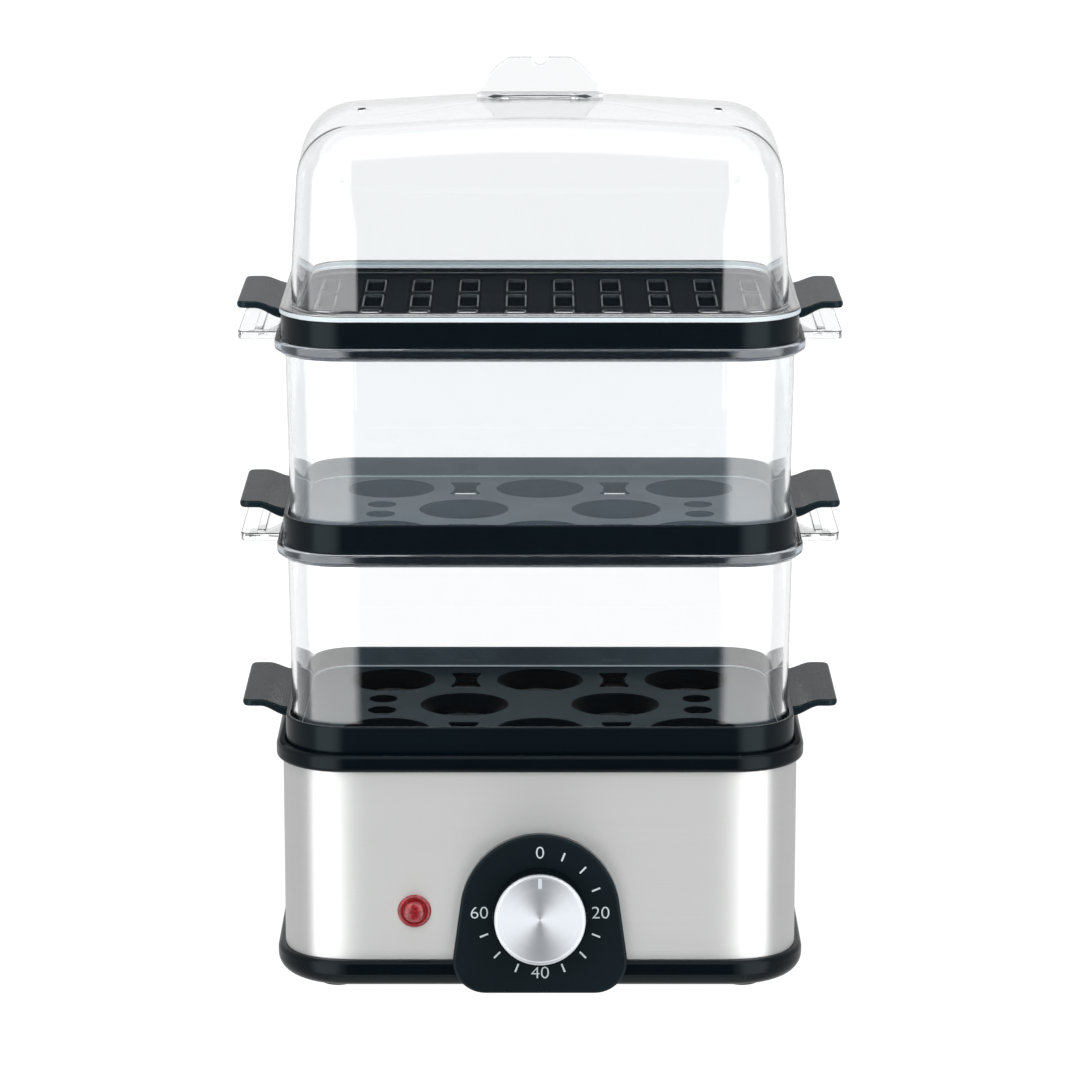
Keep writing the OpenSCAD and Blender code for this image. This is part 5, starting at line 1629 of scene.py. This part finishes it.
@dataclass
class Base:
    """Brushed band and the black ring above it."""

    band_r: float = 28.2
    ease: float = 14.0
    band_t: float = 0.8
    band_z: float = 16.4
    trim_z: float = 100.2
    trim_top: float = 108.0
    bulge_x: float = 28.5
    bulge_r: float = 2.2
    seat_r: float = 27.0
    seat_z: float = 102.9
    ledge_r: float = 24.0
    ledge_z: float = 101.2
    lip_r: float = 19.0
    lip_z: float = 98.2
    groove_r: float = 25.9
    groove_z: float = 92.2
    clasp_r: float = 27.1
    foot_r: float = 28.4
    opening_r: float = 28.0
    opening_z: float = 38.575
    opening_low: float = 19.0
    screw_x: float = 30.0
    screw_z: float = 23.5
    screw_way: float = 1.7
    lamp_x: float = -53.9
    lamp_z: float = 38.4
    lamp_r: float = 5.5
    gland_x: float = 64.0
    gland_z: float = 30.0
    gland_r: float = 5.6
    cut_reach: float = 6.0

    def opening(self, name: str, loop: Loop, front: bool = True) -> Piece:
        """Return a cutter through the front or the back of the band.

        Args:
            name: name of the cutter.
            loop: its outline in x and height.
            front: whether it goes through the front.

        Returns:
            The cutter.
        """
        wall = PLAN.axis_y + self.band_r
        middle = wall if front else -wall
        solid = Solid(UPRIGHT)
        solid.plate(loop, [], middle + self.cut_reach, middle - self.cut_reach, 0.0)
        return solid.piece(name)

    def dial_loop(self) -> Loop:
        """Lay out the way behind the dial, a circle with a level foot.

        Returns:
            Its outline, against the clock.
        """
        half = math.sqrt(self.opening_r ** 2 - (self.opening_z - self.opening_low) ** 2)
        low = math.degrees(math.atan2(self.opening_low - self.opening_z, half))
        return arc((0.0, self.opening_z), self.opening_r, low, 180.0 - low, 48)

    def band(self) -> None:
        """Build the band with its openings and the map of its grain."""
        stations = PLAN.eased(self.band_r, self.ease)
        inner = self.band_r - self.band_t
        profile = rounded([
            (inner, self.band_z, 0.0), (self.band_r, self.band_z, 0.25),
            (self.band_r, self.trim_z, 0.25), (inner, self.trim_z, 0.0),
        ], 3)
        ring = [Vector((x + self.band_r * nx, y + self.band_r * ny)) for x, y, nx, ny in stations]
        along = [0.0]
        for here, there in zip(ring, ring[1:] + ring[:1]):
            along.append(along[-1] + (there - here).length * MM)
        up = [z * MM for _, z in profile + profile[:1]]
        solid = Solid()
        solid.sweep(profile, stations, True, (along, up))
        item = solid.piece("steel_band_face")
        cutters = [self.opening("dial_way", self.dial_loop())]
        for x in (-self.screw_x, self.screw_x):
            cutters.append(self.opening("screw_way", circle_loop(self.screw_way, (x, self.screw_z), 24)))
        lamp = circle_loop(self.lamp_r, (self.lamp_x, self.lamp_z), 40)
        gland = circle_loop(self.gland_r, (self.gland_x, self.gland_z), 40)
        cutters += [self.opening("lamp_way", lamp), self.opening("gland_way", gland, False)]
        combine(item, cutters, Cut.TAKE)
        place_piece(item, FINISHES[Slot.BAND], Part.BASE, ("steel_band",))

    def trim(self) -> None:
        """Build the bulging ring that caps the band."""
        low, top = self.trim_z, self.trim_top
        outer = arc((self.bulge_x, low + self.bulge_r), self.bulge_r, -70.0, 0.0, 7)
        outer += arc((self.bulge_x, top - self.bulge_r), self.bulge_r, 0.0, 90.0, 8)
        rest = rounded([
            (self.bulge_x, top, 0.0), (self.seat_r, top, 0.35), (self.seat_r, self.seat_z, 0.3),
            (self.ledge_r, self.seat_z, 0.3), (self.ledge_r, self.ledge_z, 0.0),
            (self.lip_r, self.ledge_z, 0.3), (self.lip_r, self.lip_z, 0.3),
            (self.groove_r, self.lip_z, 0.0), (self.groove_r, self.groove_z, 0.0),
            (self.clasp_r, self.groove_z, 0.0), (self.clasp_r, low, 0.0), (self.foot_r, low, 0.0),
        ], 3)
        solid = Solid()
        solid.sweep(outer + rest[1:], PLAN.stations())
        place_piece(solid.piece("trim_ring"), FINISHES[Slot.BLACK], Part.BASE, ("top_trim",))

    def build(self) -> None:
        """Build the band and the ring."""
        self.band()
        self.trim()


@dataclass
class Dial:
    """Leaning panel with its printed scale and the knob."""

    lean: float = 7.5
    centre_y: float = -81.5
    centre_z: float = 39.8
    arch_r: float = 34.3
    drop: float = 34.3
    low_r: float = 14.0
    low_x: float = 23.3
    wall: float = 2.4
    bevel: float = 1.3
    bevel_share: float = 0.8
    rear_y: float = -72.2
    cover_y: float = -75.2
    cover_z: float = 16.6
    ear_x: float = 22.5
    ear_r: float = 3.5
    ear_bore: float = 1.2
    ear_depth: float = 10.0
    boss_r: float = 3.0
    boss_bore: float = 1.6
    boss_y: float = -79.2
    shaft_r: float = 4.2
    scale_r: float = 25.9
    scale_rise: float = 0.7
    digit_h: float = 5.2
    digit_share: float = 0.7
    digit_thin: float = 0.07
    digit_wide: float = 1.09
    tick_l: float = 3.8
    tick_w: float = 0.78
    ink_t: float = 0.07
    knob_r: float = 20.4
    rib_depth: float = 0.5
    rib_crest: float = 0.12
    ribs: int = 72
    gap: float = 0.6
    bore_r: float = 3.02
    hub_r: float = 5.5
    skirt_t: float = 2.0
    web_t: float = 1.6
    cap_back: float = 12.4
    cap_top: float = 15.0
    face_drop: float = 0.45
    face_r: float = 17.55
    crest_r: float = 18.35
    cap_r: float = 19.4
    cap_edge: float = 0.15
    mark_w: float = 1.6
    mark_l: float = 4.3
    mark_r: float = 15.6
    teeth: int = 120
    tooth_r: float = 18.87
    tooth_pitch_r: float = 18.85
    tooth_share: float = 0.62
    tooth_in: float = 0.62
    tooth_out: float = 0.5
    tooth_nose: float = 0.55
    tooth_h: float = 0.9
    tooth_taper: float = 0.35

    def leaning(self) -> Pair:
        """Return the sine and the cosine of the lean."""
        return math.sin(math.radians(self.lean)), math.cos(math.radians(self.lean))

    def frame(self) -> Matrix:
        """Return the place of the dial's own axes in the cooker's frame."""
        s, c = self.leaning()
        return Matrix(((1, 0, 0, 0), (0, s, -c, self.centre_y), (0, c, s, self.centre_z), (0, 0, 0, 1)))

    def ring(
        self, name: str, solid: Solid, finish: Finish, count: int, radius: float,
        start: float = 0.0, step: float | None = None, skip: int = 1000, rise: float = 0.0,
    ) -> Piece:
        """Repeat a small shape round the dial's axis.

        Args:
            name: name of the object.
            solid: the shape, about the origin.
            finish: finish of the result.
            count: how many places there are.
            radius: distance from the axis.
            start: angle of the first one in degrees.
            step: angle between two in degrees, or an even share of the turn.
            skip: every place of this number stays empty.
            rise: how far the ring's middle lies above the axis.

        Returns:
            The object.
        """
        s, c = self.leaning()
        across, up = self.centre_y + PLAN.shift_y + rise * s, self.centre_z + rise * c
        return RING_OF.run(name, solid, finish, {
            "Count": count, "Radius": radius * MM, "Start": math.radians(start), "Skip": skip,
            "Step": math.tau / count if step is None else math.radians(step),
            "Tilt": (math.radians(90.0 - self.lean), 0.0, 0.0), "Centre": (0.0, across * MM, up * MM),
        })

    def outline(self, inset: float) -> Loop:
        """Return the panel's outline, drawn in by an inset.

        Args:
            inset: how far it is drawn in.

        Returns:
            The outline, against the clock, with the same count of points for any inset.
        """
        arch, low = self.arch_r - inset, self.low_r - inset
        low_y = self.low_r - self.drop
        span = math.hypot(self.low_x, low_y)
        side = math.degrees(math.atan2(low_y, self.low_x) + math.acos((arch - low) / span))
        right = arc((self.low_x, low_y), low, -90.0, side, 14)
        top = arc((0.0, 0.0), arch, side, 180.0 - side, 48)
        left = arc((-self.low_x, low_y), low, 180.0 - side, 270.0, 14)
        return right + top + left

    def rear(self, y: float) -> float:
        """Return the depth at which the panel's side ends on the band or the cover.

        Args:
            y: height of the point along the panel.

        Returns:
            The depth along the dial's axis.
        """
        s, c = self.leaning()
        depth = (self.centre_y - self.rear_y + y * s) / c
        height = self.centre_z + y * c + depth * s
        if height < self.cover_z:
            depth = (self.centre_y - self.cover_y + y * s) / c
        return depth

    def panel(self) -> None:
        """Build the panel as a hollow shell with a bevelled front edge and two ears."""
        rows = []
        for step in range(6):
            angle = math.radians(18.0 * step)
            z = -self.bevel * self.bevel_share * (1.0 - math.cos(angle))
            rows.append([(x, y, z) for x, y in self.outline(self.bevel * (1.0 - math.sin(angle)))])
        inner = self.outline(self.wall)
        rows += [[(x, y, self.rear(y)) for x, y in loop] for loop in (self.outline(0.0), inner)]
        rows.append([(x, y, -self.wall) for x, y in inner])
        solid = Solid(self.frame())
        solid.skin(rows, False, True)
        hole = circle_loop(self.shaft_r, count=48)
        solid.cap([self.outline(self.bevel), hole[::-1]], 0.0, True)
        solid.cap([inner, hole[::-1]], -self.wall, False)
        solid.skin([[(x, y, z) for x, y in hole] for z in (0.0, -self.wall)], False, True)
        item = solid.piece("dial_face")
        ears = []
        for centre in ((-self.ear_x, 0.0), (self.ear_x, 0.0)):
            ear = Solid(self.frame())
            bore = circle_loop(self.ear_bore, centre, 20)
            ear.plate(circle_loop(self.ear_r, centre, 32), [bore], 0.3 - self.wall, -self.ear_depth, 0.0)
            ears.append(ear.piece("ear"))
        gather(item, ears, CLOSE_WELD)
        # The panel's black is lighter than the other black plastic: painted sheen.
        place_piece(item, PANEL_SHEEN, Part.BASE, ("dial_panel",))

    def bosses(self) -> None:
        """Build the two bosses that take the panel's screws."""
        solid = Solid(UPRIGHT)
        for centre in ((-Base.screw_x, Base.screw_z), (Base.screw_x, Base.screw_z)):
            bore = circle_loop(self.boss_bore, centre, 24)
            solid.plate(circle_loop(self.boss_r, centre, 32), [bore], -self.boss_y, -self.rear_y, 0.0)
        place_piece(solid.piece("panel_bosses"), FINISHES[Slot.BLACK], Part.BASE)

    def number(self, text: str, angle: float) -> Piece:
        """Return one printed number, a little wider and thinner than its typeface.

        Args:
            text: what it says.
            angle: its place on the dial in degrees.

        Returns:
            The number.
        """
        curve = bpy.data.curves.new("number", "FONT")
        curve.body = text
        curve.size = self.digit_h * MM / self.digit_share
        curve.align_x, curve.align_y = "CENTER", "CENTER"
        curve.extrude = self.ink_t * MM / 2.0
        curve.offset = -self.digit_thin * MM
        source = put("number", curve)
        graph = bpy.context.evaluated_depsgraph_get()
        mesh = bpy.data.meshes.new_from_object(source.evaluated_get(graph), depsgraph=graph)
        bpy.data.objects.remove(source)
        middle = [(min(part) + max(part)) / 2.0 for part in zip(*(vert.co.xy for vert in mesh.vertices))]
        turn = math.radians(angle)
        across = self.scale_r * MM * math.cos(turn) - middle[0] * self.digit_wide
        up = (self.scale_r * math.sin(turn) + self.scale_rise) * MM - middle[1]
        wider = Matrix.Diagonal((self.digit_wide, 1.0, 1.0, 1.0))
        place = self.frame()
        for row in range(3):
            place[row][3] *= MM
        place = Matrix.Translation((0.0, PLAN.shift_y * MM, 0.0)) @ place
        mesh.transform(place @ Matrix.Translation((across, up, self.ink_t * MM * 0.4)) @ wider)
        return put("number", mesh)

    def scale(self) -> None:
        """Build the printed numbers and the ticks between them."""
        marks = (("0", 90.0), ("20", 0.0), ("40", -90.0), ("60", 180.0))
        item, *others = (self.number(*mark) for mark in marks)
        item.name = "dial_scale"
        tick = Solid()
        tick.plate(box_loop(self.tick_l, self.tick_w, 0.12, steps=2), [], self.ink_t, -0.02, 0.02)
        others.append(self.ring("ticks", tick, INK, 11, self.scale_r, 67.5, -22.5, 4, self.scale_rise))
        gather(item, others, FINE_WELD)
        place_piece(item, INK, Part.BASE, (), 50.0)

    def skirt(self) -> None:
        """Build the ribbed body of the knob."""
        root = self.knob_r - self.rib_depth
        inner, web, top = root - self.skirt_t, self.cap_back - self.web_t, self.cap_back - 0.02
        profile = rounded([
            (self.bore_r, self.gap, 0.0), (self.hub_r, self.gap, 0.0), (self.hub_r, web, 0.0),
            (inner, web, 0.0), (inner, self.gap, 0.0), (root, self.gap, 0.3), (root, top, 0.5),
            (self.bore_r, top, 0.0),
        ], 3)
        solid = Solid(self.frame())
        solid.sweep(profile, ring_stations(144))
        item = solid.piece("knob_body")
        half, crest = math.pi * root / self.ribs, self.rib_crest
        loop = rounded([
            (-0.5, -half, 0.0), (0.0, -half, 0.0), (self.rib_depth, -crest, 0.14),
            (self.rib_depth, crest, 0.14), (0.0, half, 0.0), (-0.5, half, 0.0),
        ], 2)
        rib = Solid()
        rib.plate(loop, [], self.cap_back - 0.35, self.gap, 0.0)
        gather(item, [self.ring("ribs", rib, FINISHES[Slot.BLACK], self.ribs, root)], FINE_WELD)
        place_piece(item, FINISHES[Slot.BLACK], Part.KNOB, ("knob_skirt",))

    def pointer(self) -> None:
        """Build the pointer printed on the cap."""
        face = self.cap_top - self.face_drop
        mark = Solid(self.frame())
        loop = box_loop(self.mark_w, self.mark_l, 0.3, (0.0, self.mark_r))
        mark.plate(loop, [], face + 0.08, face - 0.1, 0.04)
        place_piece(mark.piece("knob_mark"), INK, Part.KNOB)

    def cap(self) -> None:
        """Build the turned cap with its toothed rim."""
        top, back = self.cap_top, self.cap_back
        face = top - self.face_drop
        edge = self.cap_r - self.cap_edge
        profile = [
            (0.0, face), (4.0, face), (9.0, face), (14.0, face), (self.face_r, face), (17.8, face + 0.06),
            (17.95, face + 0.3), (18.15, top - 0.02), (self.crest_r, top), (18.75, top - 0.08),
            (edge, top - 0.5), (self.cap_r, top - 0.8), (self.cap_r, back + 0.2), (edge, back), (0.0, back),
        ]
        count = 160
        around = [k / count for k in range(count + 1)]
        across = [0.0]
        for (r0, z0), (r1, z1) in zip(profile, profile[1:]):
            across.append(across[-1] + math.hypot(r1 - r0, z1 - z0) * MM)
        solid = Solid(self.frame())
        solid.sweep(profile, ring_stations(count), False, (around, across))
        item = solid.piece("knob_face")
        half = math.pi * self.tooth_pitch_r / self.teeth * self.tooth_share
        side = [(self.tooth_out, half), (-self.tooth_in, half * 0.9)]
        loop = [(x, -y) for x, y in side[::-1]] + [(self.tooth_nose, 0.0)] + side
        tooth = Solid()
        tooth.loft([
            [(x, y, top - self.tooth_h) for x, y in loop],
            [(x, y * self.tooth_taper, top - (0.02 if x < 0.0 else 0.44)) for x, y in loop],
        ])
        gather(item, [self.ring("teeth", tooth, FINISHES[Slot.KNOB], self.teeth, self.tooth_r)], FINE_WELD)
        place_piece(item, FINISHES[Slot.KNOB], Part.KNOB, ("knob_cap",), 30.0)

    def build(self) -> None:
        """Build the panel, its scale and the knob."""
        self.panel()
        self.bosses()
        self.scale()
        self.skirt()
        self.cap()
        self.pointer()


@dataclass
class Indicator:
    """Red lens of the lamp beside the dial."""

    x: float = Base.lamp_x
    y: float = Dial.rear_y
    z: float = Base.lamp_z
    barrel_l: float = 10.0

    def build(self) -> None:
        """Build the lens with its flange, groove and barrel."""
        back = -self.barrel_l
        profile = [
            (0.0, 1.6), (3.4, 1.6), (3.6, 1.2), (3.6, back), (5.3, back), (5.3, 0.0), (7.2, 0.0), (7.3, 0.12),
            (7.3, 0.5), (7.15, 0.95), (6.85, 1.3), (6.5, 1.5), (6.1, 1.55), (5.8, 1.4), (5.55, 1.05),
            (5.3, 0.75), (4.95, 0.7), (4.8, 0.85), (4.75, 1.7), (4.55, 2.5), (4.15, 3.0), (3.5, 3.3),
            (2.6, 3.48), (1.4, 3.57), (0.0, 3.6),
        ]
        solid = Solid(Matrix.Translation((self.x, self.y, self.z)) @ UPRIGHT)
        solid.sweep(profile, ring_stations(72), closed=False)
        lens = solid.piece("lamp_lens")
        place_piece(lens, FINISHES[Slot.LENS], Part.BASE, ("indicator_lens",), 45.0)


@dataclass(frozen=True)
class Glow:
    """Brightness of the room by direction, as one kind of reflection shows it."""

    front: float
    side: float
    rear: float
    above: float
    below: float
    side_from: float
    side_soft: float
    side_to: float
    core: Pair
    top: Pair
    lean: float = 0.0
    rake: float = 0.0
    rake_from: float = -0.05
    rear_soft: float = 0.2
    side_core: Pair = (-0.62, -0.5)
    side_top: Pair = (0.72, 0.84)
    zenith: Pair = (0.86, 0.97)


class Room(Tree):
    """White room whose reflections are set by direction."""

    mirror = Glow(
        front=0.02, side=4.2, rear=0.95, above=2.4, below=0.9, side_from=2.71, side_soft=0.16, side_to=76.0,
        core=(-0.9, -0.8), top=(0.72, 0.84), lean=0.026, rake=0.13,
    )
    gloss = Glow(
        front=0.05, side=2.2, rear=0.62, above=1.2, below=1.05, side_from=2.0, side_soft=22.0, side_to=54.0,
        core=(-0.75, -0.55), top=(0.3, 0.5),
    )
    plain: float = 0.55
    bright: float = 1.18

    def __init__(self) -> None:
        """Start the world and find each ray's direction."""
        self.world = bpy.data.worlds.new("white_room")
        self.world.use_nodes = True
        self.world.cycles.sampling_method = "NONE"
        super().__init__(self.world.node_tree)
        place = self.node("ShaderNodeTexCoord").outputs["Generated"]
        x, y, self.height = self.node("ShaderNodeSeparateXYZ", {0: place}).outputs
        ahead = self.math("MULTIPLY", y, -1.0)
        self.azimuth = self.math("ABSOLUTE", self.math("ARCTAN2", x, ahead))
        self.aside = self.math("ARCSINE", self.math("ABSOLUTE", x))

    def blend(self, share: Socket, one: Socket | float, two: Socket | float) -> Socket:
        """Return one value turning into another by a share."""
        return self.node("ShaderNodeMix", {0: share, 2: one, 3: two}, data_type="FLOAT").outputs[0]

    def level(self, glow: Glow) -> Socket:
        """Lay out one kind of reflection's brightness by direction.

        Args:
            glow: its brightness in front, at the sides, behind, above and below.

        Returns:
            The brightness.
        """
        start, soft, end = (math.radians(angle) for angle in (glow.side_from, glow.side_soft, glow.side_to))
        over = self.math("MAXIMUM", self.math("SUBTRACT", self.height, glow.rake_from), 0.0)
        edge = self.math("ADD", self.aside, self.math("MULTIPLY", self.height, -glow.lean))
        edge = self.math("ADD", edge, self.math("MULTIPLY", over, -glow.rake))
        ahead = self.blend(self.rise(self.height, *glow.core), glow.below, glow.front)
        ahead = self.blend(self.rise(self.height, *glow.top), ahead, glow.above)
        beside = self.blend(self.rise(self.height, *glow.side_core), glow.below, glow.side)
        beside = self.blend(self.rise(self.height, *glow.side_top), beside, glow.above)
        around = self.blend(self.rise(edge, start, start + soft), ahead, beside)
        behind = self.blend(self.rise(self.azimuth, end, end + glow.rear_soft), around, glow.rear)
        return self.blend(self.rise(self.height, *glow.zenith), behind, glow.above)

    def build(self) -> None:
        """Join the levels of each kind of ray and hand the world to the scene."""
        path = self.node("ShaderNodeLightPath").outputs
        gloss = self.blend(path["Is Singular Ray"], self.level(self.gloss), self.level(self.mirror))
        through = path["Is Transmission Ray"]
        straight = self.math("LESS_THAN", path["Glossy Depth"], 0.5)
        turned = self.math("MULTIPLY", through, self.math("SUBTRACT", 1.0, straight))
        reflected = self.math("MAXIMUM", path["Is Glossy Ray"], turned)
        bounced = self.blend(reflected, self.plain, gloss)
        seen = self.math("MAXIMUM", path["Is Camera Ray"], self.math("MULTIPLY", through, straight))
        strength = self.blend(seen, bounced, self.bright)
        back = self.node("ShaderNodeBackground", {"Color": (1.0, 1.0, 1.0, 1.0), "Strength": strength})
        self.node("ShaderNodeOutputWorld", {"Surface": back.outputs["Background"]})
        bpy.context.scene.world = self.world


@dataclass
class Studio:
    """Floor, light and camera."""

    lens: float = 150.9
    sensor: float = 36.0
    camera_at: Triple = (0.0, -1.917311, 0.630404)
    camera_tilt: float = 77.0
    floor_r: float = 0.5
    floor_past: float = 1.02
    fade_from: float = 0.55
    floor_glow: float = 0.86
    aim_z: float = 0.2
    tone: Colour = (0.74, 0.92, 1.0)
    side: float = 1.5
    overhead: float = 1.3

    def softbox(
        self, name: str, azimuth: float, height: float, reach: float, size: Pair, level: float,
    ) -> None:
        """Hang a rectangular lamp that lights the cooker without showing in its gloss.

        Args:
            name: name of the lamp.
            azimuth: angle from the front towards the right, in degrees.
            height: angle above the level, in degrees.
            reach: distance in metres.
            size: its width and height in metres.
            level: brightness of its face.
        """
        a, e = math.radians(azimuth), math.radians(height)
        away = Vector((math.sin(a) * math.cos(e), -math.cos(a) * math.cos(e), math.sin(e))) * reach
        lamp = bpy.data.lights.new(name, "AREA")
        lamp.shape = "RECTANGLE"
        lamp.size, lamp.size_y = size
        lamp.color = self.tone
        lamp.energy = level * math.pi * size[0] * size[1]
        item = put(name, lamp)
        item.location = Vector((0.0, 0.0, self.aim_z)) + away
        item.rotation_euler = (-away).to_track_quat("-Z", "Y").to_euler()
        item.visible_camera = False
        item.visible_transmission = False
        item.visible_glossy = False

    def floor_finish(self) -> bpy.types.Material:
        """Make the finish of the floor, which glows as white as the room and fades at its edge.

        Returns:
            The material.
        """
        white = (1.0, 1.0, 1.0, 1.0)
        made = Shader("pale_floor", {
            "Base Color": (0.9, 0.9, 0.9, 1.0), "Roughness": 0.9, "Specular IOR Level": 0.1,
        })
        reach = made.node("ShaderNodeVectorMath", {0: made.place()}, operation="LENGTH").outputs["Value"]
        fade = made.rise(reach, self.floor_r * self.fade_from, self.floor_r)
        path = made.node("ShaderNodeLightPath").outputs
        seen = made.math("MAXIMUM", path["Is Camera Ray"], path["Is Transmission Ray"])
        glow = made.node("ShaderNodeEmission", {"Color": white, "Strength": Room.bright}).outputs[0]
        lit = made.mix(made.math("MULTIPLY", seen, self.floor_glow), made.surface.outputs["BSDF"], glow)
        mirrored = made.math("GREATER_THAN", path["Glossy Depth"], 0.5)
        clear = made.node("ShaderNodeBsdfTransparent").outputs[0]
        made.show(made.mix(made.math("MAXIMUM", fade, mirrored), lit, clear))
        return made.material

    def floor(self) -> None:
        """Lay the pale floor, which keeps the shadow."""
        edge = circle_loop(self.floor_r * self.floor_past, count=96)
        mesh = bpy.data.meshes.new("floor")
        mesh.from_pydata([(x, y, 0.0) for x, y in edge], [], [tuple(range(len(edge)))])
        mesh.materials.append(self.floor_finish())
        item = put("floor", mesh)
        item.visible_glossy = False

    def camera(self) -> None:
        """Set up the camera at the photograph's angle."""
        data = bpy.data.cameras.new("camera")
        data.lens = self.lens
        data.sensor_width = self.sensor
        item = put("camera", data)
        item.location = self.camera_at
        item.rotation_euler = (math.radians(self.camera_tilt), 0.0, 0.0)
        bpy.context.scene.camera = item

    def build(self) -> None:
        """Set up the whole studio."""
        Room().build()
        self.floor()
        for name, azimuth in (("left_box", -42.0), ("right_box", 42.0)):
            self.softbox(name, azimuth, height=20.0, reach=1.9, size=(1.2, 1.6), level=self.side)
        self.softbox("front_box", 0.0, height=48.0, reach=2.0, size=(1.8, 1.3), level=self.overhead)
        self.camera()
        bpy.context.scene.view_settings.view_transform = "Standard"


def dress_solids() -> None:
    """Give every solid of the frame the finish of its slot."""
    for name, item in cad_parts.items():
        for holder in item.material_slots:
            holder.material = paint(FINISHES[Slot(holder.name.split(".")[0])])
        LOG.info("%s: finished as it is", name)


def main() -> None:
    """Build every sub-assembly over the frame."""
    logging.basicConfig(level=logging.INFO, format="%(message)s")
    dress_solids()
    clear = FINISHES[Slot.CLEAR]
    # The egg trays' floor, back wall and seat finishes carry painted sheen, light and shade; the steamer
    # tray's are one plain matt black.
    EggTray("egg_tray_low", "lower_egg_tray", Part.LOWER_TRAY, LOW_RIM, FLOOR_SHEEN, BACK_WALL_LIGHT, DISH_SHADE).build()
    EggTray("egg_tray_middle", "middle_egg_tray", Part.MIDDLE_TRAY, MIDDLE_RIM, MIDDLE_FLOOR_SHEEN, MIDDLE_SEAT_WALL_SHEEN, MIDDLE_SEAT_WALL_SHEEN).build()
    SteamerTray("steamer_tray_top", "steamer_tray", Part.TOP_TRAY, TOP_RIM, MATT, MATT, MATT).build()
    ClearTier("tier_low", "lower_clear_tier", Part.LOWER_TIER, LOW_RIM - TIER_DROP, clear).build()
    ClearTier("tier_high", "upper_clear_tier", Part.UPPER_TIER, MIDDLE_RIM - TIER_DROP, HAZY).build()
    Lid().build()
    Base().build()
    Dial().build()
    Indicator().build()
    Studio().build()


if __name__ == "__main__":
    main()
